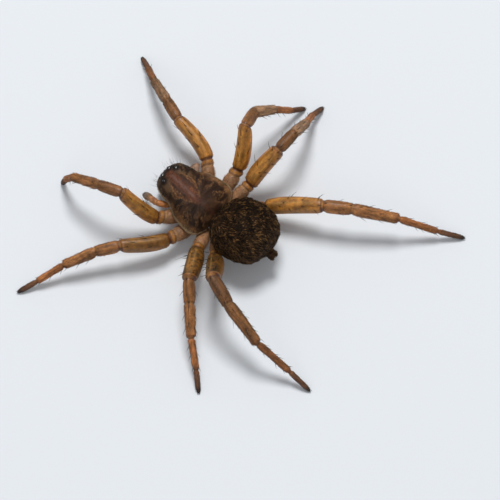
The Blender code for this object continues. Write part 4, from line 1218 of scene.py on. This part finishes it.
def limb_frame(joints, hinge, bow=np.zeros(3)):
    """Rings of a jointed limb before they get their width.

    Each straight part is cut at the plane half way to its neighbour, and a ring's cross vectors
    slide evenly from one cut to the other. A bell-shaped average along the limb then rounds the
    corners. Returns centre, across and up vectors and the ring's place: part number + fraction."""
    ways = unit(np.diff(joints, axis=0))
    cuts = np.concatenate((ways[:1], unit(ways[1:] + ways[:-1]), ways[-1:]))
    centre, across, up, where = [], [], [], []
    for k, way in enumerate(ways):
        span = np.linalg.norm(joints[k + 1] - joints[k])
        count = max(4, int(round(span / LIMB_STEP)))
        t = np.linspace(0, 1, count, endpoint=k == len(ways) - 1)[:, None]
        a = unit(hinge - way * hinge.dot(way))
        u = np.cross(a, way)
        for store, vector in ((across, a), (up, u)):
            slide = [-vector.dot(cut) / way.dot(cut) for cut in (cuts[k], cuts[k + 1])]
            store.append(vector + way * (slide[0] * (1 - t) + slide[1] * t))
        centre.append(joints[k] + way * span * t + bow * (k == 1) * np.sin(math.pi * t ** BOW_SKEW))
        where.append(k + t[:, 0])
    width = int(round(3 * JOINT_ROUNDING / LIMB_STEP))
    kernel = bell(np.arange(-width, width + 1) * LIMB_STEP, 0, JOINT_ROUNDING)
    kernel /= kernel.sum()

    def rounded(parts):
        """Bell-shaped running mean, with the ends mirrored through themselves."""
        values = np.concatenate(parts)
        start, end = values[:1] * 2, values[-1:] * 2
        padded = np.concatenate((start - values[width:0:-1], values, end - values[-2:-width - 2:-1]))
        return np.stack([np.convolve(padded[:, c], kernel, "valid") for c in range(3)], -1)

    return rounded(centre), rounded(across), rounded(up), np.concatenate(where)


class Leg:
    """One leg: the frame of its rings, its skin and its paint."""

    def __init__(self, code):
        """Lay the joints and rings, then the skin, then the places of the spines."""
        self.code, self.pair = code, int(code[1])
        self.joints = joint_points(code)
        self.spans = np.linalg.norm(np.diff(self.joints, axis=0), axis=1)
        ways = unit(np.diff(self.joints, axis=0))
        bow = rearward(SWEEPS[code][1], 1 if code[0] == "L" else -1) * BOWS[code]
        self.centre, self.across, self.up, self.where = limb_frame(
            self.joints, hinge_of(ways, 1, 3), bow)
        self.turn = (np.arange(LIMB_COLS) + 0.5) * TAU / LIMB_COLS - math.pi / 2
        self.grid = self.skin()
        self.normal, self.along = surface_frame(self.grid)
        self.full_where = np.concatenate((self.where, np.full(self.toe_rows, 5.99)))
        rng = np.random.default_rng(201 + LEG_CODES.index(code))
        self.spines = [(part, share + rng.normal(0, 0.025),
                        math.pi / 2 + math.radians(turn) + rng.normal(0, 0.16), size)
                       for part, share, turn, size in spine_places(self.code)]

    def joint_distance(self, k):
        """Signed distance along the leg from the joint after part k, in millimetres: the share of
        a part past the joint times the length of the part it falls in."""
        before = (self.where - (k + 1)) * self.spans[min(k, 5)]
        after = (self.where - (k + 1)) * self.spans[min(k + 1, 5)]
        return np.where(self.where < k + 1, before, after)

    def skin(self):
        """Rings about the frame: ellipses a little deeper than wide, pinched at the joints,
        hollowed under the knees, closed by a round toe."""
        wide = outline(self.where, LEG_FORMS, THICKNESS[self.pair]) * LEG_SKIN_SHARE
        deep = wide * by_part(self.where, DEPTH)
        below = np.ones_like(wide)
        for k in range(5):
            gap = self.joint_distance(k)
            pinch = bell(gap, 0, 0.07)
            wide, deep = wide * (1 - 0.07 * pinch), deep * (1 - 0.05 * pinch)
            below = below - (0.22 if k in (1, 2) else 0.12) * bell(gap, 0, 0.22)
        c, s = np.cos(self.turn)[None, :, None], np.sin(self.turn)[None, :, None]
        tall = np.where(s > 0, deep[:, None, None], (deep * below)[:, None, None])
        grid = (self.centre[:, None, :] + self.across[:, None, :] * c * wide[:, None, None]
                + self.up[:, None, :] * s * tall)
        way = unit(self.joints[6] - self.joints[5])
        grid = round_tip(grid, self.centre[-1], way, wide[-1] * 1.3, 8)
        self.toe_rows = len(grid) - len(self.where)
        grid[..., 2] = np.maximum(grid[..., 2], 0.0)
        return grid

    def paint(self):
        """Colours of the leg: golden femur, redder knee and tibia, dark foot, pale membranes under
        the joints, dark knuckles beside them and faint lengthwise lines, the golden ones on the
        femur's top a painted sheen.

        Colours run evenly from stop to stop, times a mottle, a tone for each part, partly painted
        light and shade, and drawn-out streaks. Each marking is then mixed in by bells and ramps
        along and round the leg."""
        where = np.concatenate((self.where, np.full(self.toe_rows, 6.0)))
        turn = self.turn[None, :]
        names, stops = zip(*LEG_STOPS)
        paint = np.broadcast_to(blend(where, stops, [tint(name) for name in names]), self.grid.shape)
        broad, fine = mottle(self.grid, 0.9, 81), mottle(self.grid, 0.3, 82)
        paint = paint * (0.84 + 0.32 * broad)[..., None]
        femur = (ramp(where, 1.0, 1.06) * ramp(-where, -1.98, -1.9))[:, None]
        knee = (ramp(where, 1.97, 2.06) * ramp(-where, -3.04, -2.96))[:, None]
        shin = (ramp(where, 2.96, 3.04) * ramp(-where, -4.98, -4.86))[:, None]
        top = np.sin(turn)
        dusk_and_shade = FEMUR_DUSK_AND_SHADE.get(self.code, PLAIN_DUSK)
        patch = ramp(0.5 * fine + 0.5 * mottle(self.grid, 0.55, 83), 0.35, 0.65)
        # dusky mottle on the femur's top; on the left hind legs it is partly painted shade
        paint = mix(paint, shade("dusk_and_shade"), femur * dusk_and_shade * (0.25 + 0.75 * patch) * ramp(top, -0.5, 0.6))
        # painted sheen: the tibiae of the first three right legs greyed
        painted_sheen = SHIN_SHEEN.get(self.code, 0.0) * shin * ramp(-where, -4.05, -3.95)[:, None]
        paint = mix(paint, shade("shin_sheen"), painted_sheen)
        # painted light and shade: each leg's parts lighter or darker by how the leg stands to the light,
        # besides their own tone
        for part, tone in zip((femur, knee, shin), LEG_LIGHT_AND_TONE[self.code]):
            paint = paint * (1 + (tone - 1) * part)[..., None]
        paint = mix(paint, paint * (0.80, 0.77, 0.66), knee)
        fibres = streaks(self.grid.shape[:2], 7.0, 0.55, 84 + LEG_CODES.index(self.code)) - 0.5
        paint = paint * (1 + fibres * (0.55 * femur + 0.75 * (knee + shin)))[..., None]
        # painted sheen: two golden lines along the femur's top, with brown lines beside them
        for offset in (-0.34, 0.34):
            line = bell(turn, math.pi / 2 + offset, 0.055) * femur
            line = line * ramp(-np.abs(where - 1.5), -0.42, -0.3)[:, None]
            paint = mix(paint, shade("gold_sheen_line"), line * 0.55)
            line = bell(turn, math.pi / 2 + 1.9 * offset, 0.10) * femur
            paint = mix(paint, shade("brown_line"), line * 0.35)
        under = ramp(-top, -0.1, 0.8)
        for k, strength in enumerate(RING_STRENGTH):
            gap = np.concatenate((self.joint_distance(k), np.full(self.toe_rows, 9.0)))[:, None]
            paint = mix(paint, tint("membrane"), bell(gap, 0, 0.09) * (0.10 + 0.85 * under) * (k != 4))
            knuckle = bell(np.abs(np.cos(turn)), 1.0, 0.25) * bell(gap, -0.02, 0.13)
            ring = bell(gap, -0.11, 0.05) + bell(gap, 0.12, 0.05)
            paint = mix(paint, tint("joint"), np.clip(knuckle + ring * 0.7, 0, 1) * strength)

        def hip_ring(place_on, width):
            """Bell about a place on the first part, its width in millimetres."""
            return bell((where[:, None] - place_on) * self.spans[0], 0, width)

        paint = mix(paint, tint("membrane"), hip_ring(0.775, 0.05) * 0.40)
        for part, share, turned, _ in self.spines:
            away = np.linalg.norm(self.grid - self.at(part, share, turned)[0], axis=-1)
            paint = mix(paint, tint("black"), bell(away, 0, 0.060) * 0.85)
        paint = mix(paint, shade("trochanter"), hip_ring(TROCHANTER, 0.15) * 0.90)
        paint = mix(paint, tint("joint"), hip_ring(1.0, 0.085) * 0.90)
        paint = mix(paint, tint("joint"), hip_ring(0.835, 0.05) * 0.55)
        return mix(paint, shade("toe"), ramp(where, 5.75, 6.0)[:, None] * 0.8)

    def at(self, part, share, turn):
        """Root, outward normal and direction to the tip at a place on the skin."""
        row = int(np.argmin(np.abs(self.where - (part + share))))
        col = int(np.argmin(np.abs((self.turn - turn + math.pi) % TAU - math.pi)))
        return self.grid[row, col], self.normal[row, col], self.along[row, col]


LEGS = {}


def leg(code):
    """Make each leg once."""
    if code not in LEGS:
        LEGS[code] = Leg(code)
    return LEGS[code]


LEG_CODES = [side + str(pair) for side in "LR" for pair in (1, 2, 3, 4)]
# lightness of each leg's femur, knee and shin, partly its own tone and partly painted light and shade; how
# dusky its femur's top, partly painted shade on the left hind legs; and how much painted sheen greys its shin
LEG_LIGHT_AND_TONE = {"L1": (1.00, 0.80, 1.05), "L2": (0.55, 1.10, 1.08), "L3": (0.60, 1.00, 1.12),
             "L4": (0.41, 0.52, 0.72), "R1": (1.05, 0.77, 0.72), "R2": (1.40, 1.02, 1.20),
             "R3": (1.08, 0.65, 1.18), "R4": (1.00, 1.12, 1.07)}
FEMUR_DUSK_AND_SHADE = {"L3": 0.90, "L4": 0.95}
# painted sheen that greys the tibiae of the first three right legs
SHIN_SHEEN = {"R1": 0.40, "R2": 0.50, "R3": 0.50}
PLAIN_DUSK = 0.30
# hair by part: how dense, how long over the longest, how far it stands
HAIR_DENSITY = (1.3, 0.62, 0.95, 1.15, 1.3, 2.2)
HAIR_LENGTH = (1.45, 0.60, 0.80, 1.05, 0.85, 0.62)
HAIR_LIFT = (0.50, 0.20, 0.36, 0.46, 0.48, 0.60)
DULLNESS = (0.90, 0.00, 0.45, 0.70, 0.80, 1.00)
TROCHANTER = 0.92     # place of the smooth trochanter ring, as a share of the first part


class SPIDER_OT_legs(bpy.types.Operator):
    """Build the skin of the eight legs."""
    bl_idname = "spider.legs"
    bl_label = "Legs"

    def execute(self, context):
        for code in LEG_CODES:
            limb = leg(code)
            low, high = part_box(f"Leg_{code}_Femur")
            knee = place(limb.joints[1:3]).mean(0)
            if any(not low[k] <= knee[k] <= high[k] for k in range(3)):
                raise RuntimeError(f"leg {code} does not lie in its solid")
            dull = by_part(limb.full_where, DULLNESS) * (1 - bell(limb.full_where, TROCHANTER, 0.07))
            lay_skin(f"Leg_{code}_Skin", limb.grid, limb.paint(), "leg", "femur",
                     *(f"Leg_{code}_{part}" for part in LEG_PARTS), dull=dull)
        return {"FINISHED"}


class SPIDER_OT_leg_coats(bpy.types.Operator):
    """Build the fine hair of the legs, short on the femora and thick under the feet."""
    bl_idname = "spider.leg_coats"
    bl_label = "Leg coats"

    COUNT, HIND_EXTRA = 6500, 600

    def execute(self, context):
        longest = context.scene.spider_sizes.leg_hair / MM
        for k, code in enumerate(LEG_CODES):
            limb = leg(code)
            rng = np.random.default_rng(101 + k)
            rows, where = len(limb.grid), limb.full_where
            dense = by_part(where, HAIR_DENSITY) * (1 - 0.75 * bell(where, TROCHANTER, 0.06))
            sole = ramp(where, 4.6, 5.1)[:, None] * ramp(-np.sin(limb.turn), -0.2, 0.7)[None, :]
            count = self.COUNT + self.HIND_EXTRA * (limb.pair == 4)
            root, normal, lie, uv, carry = scatter(limb.grid, count, rng, dense[:, None] * (1 + 0.9 * sole))
            at = np.interp(np.clip(uv[:, 0] * rows, 0, rows - 1.001), np.arange(rows), where)
            dice = rng.random((count, 1))
            colour = self.tones(carry(limb.paint()), at, dice)
            obj = lay_coat("femur", f"Leg_{code}_Coat", root, normal, lie, uv,
                           longest * by_part(at, HAIR_LENGTH), np.where(dice[:, 0] > 0.92, 0.030, 0.021),
                           by_part(at, HAIR_LIFT), 0.22, colour, rng)
            self.lift_off_floor(obj)
        return {"FINISHED"}

    def tones(self, colour, at, dice):
        """Colour of each hair: dark, as the skin or light by its dice, and dusky on the foot."""
        hip = (at < 1.0)[:, None]
        colour = np.where(dice < 0.38 - 0.26 * hip, colour * 0.32, colour * 1.10)
        light = np.where(hip, tint("pale_hair") * 0.45, shade("gold_hair") * 0.40)
        colour = np.where(dice > 0.88 - 0.38 * hip, light + colour * 0.6, colour)
        foot = (0.35 * ramp(at, 4.9, 5.4) + 0.5 * ramp(at, 5.5, 5.9))[:, None]
        return colour * (1 - foot) + shade("sole_hair") * foot

    def lift_off_floor(self, obj):
        """Raise every point below the floor to its level."""
        flat = np.empty(len(obj.data.vertices) * 3, np.float32)
        obj.data.vertices.foreach_get("co", flat)
        flat[2::3] = np.maximum(flat[2::3], 0.0)
        obj.data.vertices.foreach_set("co", flat)


def spine_places(code):
    """Spines of a leg: part, share of its length, turn from the top in degrees, length share.

    The femur has a row on top and one on each side, the tibia and the metatarsus have pairs
    below, and the metatarsus ends in a crown. The third and fourth legs have more on top of the
    femur, on the patella and the tibia and on the sides of the metatarsus, and on the left two
    long ones near the base of the femur."""
    pair = int(code[1])
    places = [(1, t, 0, 1.0) for t in ((0.28, 0.50, 0.74) if pair < 3 else (0.34, 0.70))]
    places += [(1, t, side, 0.80) for side in (-58, 58) for t in (0.45, 0.86)]
    places += [(3, t, side, 0.80) for side in (-152, 152) for t in (0.22, 0.55, 0.92)]
    places += [(4, t, side, 0.70) for side in (-150, 150) for t in (0.15, 0.50)]
    places += [(4, 0.93, side, 0.50) for side in (-150, -95, 95, 150)]
    if pair > 2:
        places += [(1, t, side, 0.75)
                   for side, t in ((-30, 0.30), (34, 0.46), (-38, 0.64), (28, 0.90), (-24, 0.93))]
        places += [(1, 0.10, 75, 2.1), (1, 0.16, -75, 1.6)] * (code[0] == "L")
        places += [(3, t, side, 0.75) for side in (-75, 75) for t in (0.35, 0.72)]
        places += [(2, 0.50, side, 0.65) for side in (-80, 80)] + [(2, t, 0, 0.6) for t in (0.12, 0.88)]
        places += [(3, t, 0, 0.75) for t in (0.12, 0.62)]
        places += [(4, t, side, 0.65) for side in (-70, 70) for t in (0.25, 0.6)]
    return places


class SPIDER_OT_spines(bpy.types.Operator):
    """Build the black spines of the legs."""
    bl_idname = "spider.spines"
    bl_label = "Spines"

    def execute(self, context):
        longest = context.scene.spider_sizes.spine / MM
        for k, code in enumerate(LEG_CODES):
            limb = leg(code)
            rng = np.random.default_rng(211 + k)
            found = [limb.at(part, share, turn) for part, share, turn, _ in limb.spines]
            root, normal, along = (np.array(v) for v in zip(*found))
            part = np.array([spine[0] for spine in limb.spines])
            steep = np.where(part == 1, 0.42 if limb.pair < 3 else 0.90, 0.62)[:, None]
            steep = steep * rng.uniform(0.8, 1.25, steep.shape)
            way = along * np.cos(steep) + normal * np.sin(steep)
            share = np.array([spine[3] for spine in limb.spines])
            length = longest * share * rng.uniform(0.85, 1.1, len(root))
            obj = spikes(f"Leg_{code}_Spines", root - normal * 0.03, way, -normal * 0.10 + along * 0.05,
                         length, 0.048, 6, 7, tint("black"))
            hand_over(obj, "horn", "femur")
        return {"FINISHED"}


class SPIDER_OT_claws(bpy.types.Operator):
    """Build the two curved claws at the end of each leg."""
    bl_idname = "spider.claws"
    bl_label = "Claws"

    def execute(self, context):
        for code in LEG_CODES:
            limb = leg(code)
            way = unit(limb.joints[6] - limb.joints[5])
            level = unit(way * (1, 1, 0))
            side = np.cross(level, (0, 0, 1.0))
            tip = limb.joints[6] + way * THICKNESS[limb.pair][5] * 0.75
            root = np.stack([tip + side * s * 0.05 + (0, 0, 0.05) for s in (1, -1)])
            heading = np.stack([unit(level + side * s * 0.25 + np.array((0, 0, 0.25))) for s in (1, -1)])
            bend = np.tile(np.array((0, 0, -0.75)), (2, 1))
            obj = spikes(f"Leg_{code}_Claws", root, heading, bend, 0.20, 0.06, 8, 8, tint("black"))
            hand_over(obj, "horn", "foot")
        return {"FINISHED"}


# ---- feelers -------------------------------------------------------------------------------
PALP_FORMS = (
    ((0.00, 0.88), (0.30, 0.90), (0.80, 0.92), (0.96, 0.80)),
    ((0.03, 0.78), (0.15, 0.94), (0.60, 1.00), (0.92, 0.94), (0.98, 0.80)),
    ((0.03, 0.80), (0.15, 0.98), (0.50, 1.04), (0.90, 0.98), (0.98, 0.84)),
    ((0.03, 0.88), (0.20, 1.08), (0.60, 1.14), (0.90, 1.06), (1.00, 0.96)),
)


PALP_SKIN_SHARE = 0.96    # width of a feeler's skin inside its solid


def palp_grid(side_name):
    """Jointed round tube along the feeler's middle line, with a round tip."""
    joints = np.array(PALP_PATHS[side_name])
    ways = unit(np.diff(joints, axis=0))
    centre, across, up, where = limb_frame(joints, hinge_of(ways, 0, -1))
    radius = outline(where, PALP_FORMS, (1.0,) * 4) * PALP_RADIUS * PALP_SKIN_SHARE
    turn = ((np.arange(LIMB_COLS) + 0.5) * TAU / LIMB_COLS - math.pi / 2)[None, :, None]
    grid = (centre[:, None, :] + (across[:, None, :] * np.cos(turn) + up[:, None, :] * np.sin(turn))
            * radius[:, None, None])
    grid = round_tip(grid, centre[-1], ways[-1], radius[-1], 10)
    return grid, np.concatenate((where, np.full(len(grid) - len(where), 4.0)))


# colours along a feeler; the left one is the brighter, partly a painted highlight along it
FEELER_STOPS = (0.0, 1.0, 2.0, 3.0, 3.5, 4.0)
FEELER_TONES = {"L": ("#bc783c", "#c88040", "#ba7540", "#a07452", "#968072", "#8a766a"),
                "R": ("#b08a74", "#b08e78", "#a58068", "#96735c", "#8c7466", "#7c685c")}


class SPIDER_OT_palps(bpy.types.Operator):
    """Build the two feelers, with their hair."""
    bl_idname = "spider.palps"
    bl_label = "Feelers"

    HAIRS = 2400

    def execute(self, context):
        for k, (side, _) in enumerate(SIDES):
            grid, where = palp_grid(side)
            tones = [linear(code) for code in FEELER_TONES[side]]
            paint = blend(where, FEELER_STOPS, tones) * np.ones((1, LIMB_COLS, 1))
            paint *= (0.82 + 0.36 * mottle(grid, 0.5, 91))[..., None]
            for joint in (1, 2, 3):
                paint = mix(paint, tint("joint"), bell(where, joint - 0.06, 0.05)[:, None] * 0.5)
                paint = mix(paint, tint("membrane"), bell(where, joint + 0.02, 0.05)[:, None] * 0.35)
            lay_skin(f"Palp_Skin_{side}", grid, paint, "leg", "palp", f"Palp_{side}")
            rng = np.random.default_rng(92 + k)
            weight = (0.4 + 1.4 * ramp(where, 2.6, 3.4))[:, None] * np.ones((1, LIMB_COLS))
            root, normal, lie, uv, carry = scatter(grid, self.HAIRS, rng, weight)
            dice = rng.random((len(root), 1))
            dark = carry(paint) * np.where(dice > 0.7, 0.5, 1.1)
            colour = np.where(dice < 0.25, tint("pale_hair") * 0.8, dark)
            lay_coat("palp", f"Palp_Coat_{side}", root, normal, lie, uv, 0.15, 0.020, 0.42, 0.25, colour, rng)
        return {"FINISHED"}


# ---- stage ---------------------------------------------------------------------------------
def aim(scene, name, data, middle, azimuth, elevation, distance):
    """Hang a light or the camera at a distance from a point, turned to look at it.

    For plan angle a and elevation e it stands along (cos a cos e, sin a cos e, sin e)."""
    back = Vector((math.cos(azimuth) * math.cos(elevation), math.sin(azimuth) * math.cos(elevation),
                   math.sin(elevation)))
    obj = bpy.data.objects.new(name, data)
    obj.location = middle + back * distance
    obj.rotation_euler = back.to_track_quat("Z", "Y").to_euler()
    scene.collection.objects.link(obj)
    return obj


class SPIDER_OT_stage(bpy.types.Operator):
    """Lay the pale floor, hang the lights and set the camera."""
    bl_idname = "spider.stage"
    bl_label = "Stage"

    FLOOR_HALF = 0.6
    TARGET = Vector((-0.000314, 0.002369, 0.0))
    SENSOR = 36.0
    CLIP_START = 0.01
    # name, plan angle, elevation, distance, size, power
    LIGHTS = (("Key", 218.0, 70.0, 0.60, 0.21, 2.42), ("Fill", 20.0, 50.0, 0.70, 0.50, 0.56))
    SKY_STRENGTH = 0.350

    def execute(self, context):
        self.floor()
        self.lights(context.scene)
        self.camera(context.scene)
        return {"FINISHED"}

    def floor(self):
        """Square card at the floor's level."""
        h = self.FLOOR_HALF
        mesh = bpy.data.meshes.new("Floor")
        mesh.from_pydata([(-h, -h, 0), (h, -h, 0), (h, h, 0), (-h, h, 0)], [], [(0, 1, 2, 3)])
        obj = bpy.data.objects.new("Floor", mesh)
        bpy.context.scene.collection.objects.link(obj)
        mesh.materials.append(material("board"))

    def lights(self, scene):
        """Broad key light high over the far side, a weak fill, and an even pale surround."""
        for name, azimuth, elevation, distance, size, power in self.LIGHTS:
            data = bpy.data.lights.new(name, "AREA")
            data.shape, data.size, data.energy = "DISK", size, power
            aim(scene, name, data, Vector(), math.radians(azimuth), math.radians(elevation), distance)
        world = bpy.data.worlds.new("Surround")
        world.use_nodes = True
        sky = world.node_tree.nodes["Background"]
        sky.inputs["Color"].default_value = (*shade("sky"), 1)
        sky.inputs["Strength"].default_value = self.SKY_STRENGTH
        scene.world = world

    def camera(self, scene):
        """Perspective camera aimed at the middle of the floor: its lens is half the sensor's
        width over the tangent of half the view angle."""
        stage = scene.spider_stage
        data = bpy.data.cameras.new("Camera")
        data.sensor_width = self.SENSOR
        data.lens = self.SENSOR / 2 / math.tan(stage.view_angle / 2)
        data.clip_start = self.CLIP_START
        scene.camera = aim(scene, "Camera", data, self.TARGET, stage.azimuth, stage.elevation, stage.distance)
        scene.view_settings.view_transform = "Standard"


class SPIDER_PT_panel(bpy.types.Panel):
    """Sidebar panel with the settings and the steps."""
    bl_idname = "SPIDER_PT_panel"
    bl_label = "Wolf spider"
    bl_space_type = "VIEW_3D"
    bl_region_type = "UI"
    bl_category = "Wolf spider"

    def draw(self, context):
        column = self.layout.column(align=True)
        for group in (context.scene.spider_sizes, context.scene.spider_colours, context.scene.spider_stage):
            for key in group.__annotations__:
                column.prop(group, key)
        for step in STEPS:
            column.operator(step.bl_idname)


STEPS = (SPIDER_OT_shield, SPIDER_OT_eyes, SPIDER_OT_jaws, SPIDER_OT_underside, SPIDER_OT_palps,
         SPIDER_OT_abdomen, SPIDER_OT_spinnerets, SPIDER_OT_legs, SPIDER_OT_leg_coats, SPIDER_OT_spines,
         SPIDER_OT_claws, SPIDER_OT_stage)
GROUPS = (("spider_sizes", SpiderSizes), ("spider_colours", SpiderColours), ("spider_stage", SpiderStage))


def register():
    """Register the settings, the steps and the panel."""
    for name, group in GROUPS:
        bpy.utils.register_class(group)
        setattr(bpy.types.Scene, name, bpy.props.PointerProperty(type=group))
    for cls in (*STEPS, SPIDER_PT_panel):
        bpy.utils.register_class(cls)


def unregister():
    """Undo register."""
    for cls in reversed((*STEPS, SPIDER_PT_panel)):
        bpy.utils.unregister_class(cls)
    for name, group in reversed(GROUPS):
        delattr(bpy.types.Scene, name)
        bpy.utils.unregister_class(group)


def main():
    """Run every step in order."""
    register()
    for step in STEPS:
        area, name = step.bl_idname.split(".")
        getattr(getattr(bpy.ops, area), name)()


if __name__ == "__main__":
    main()
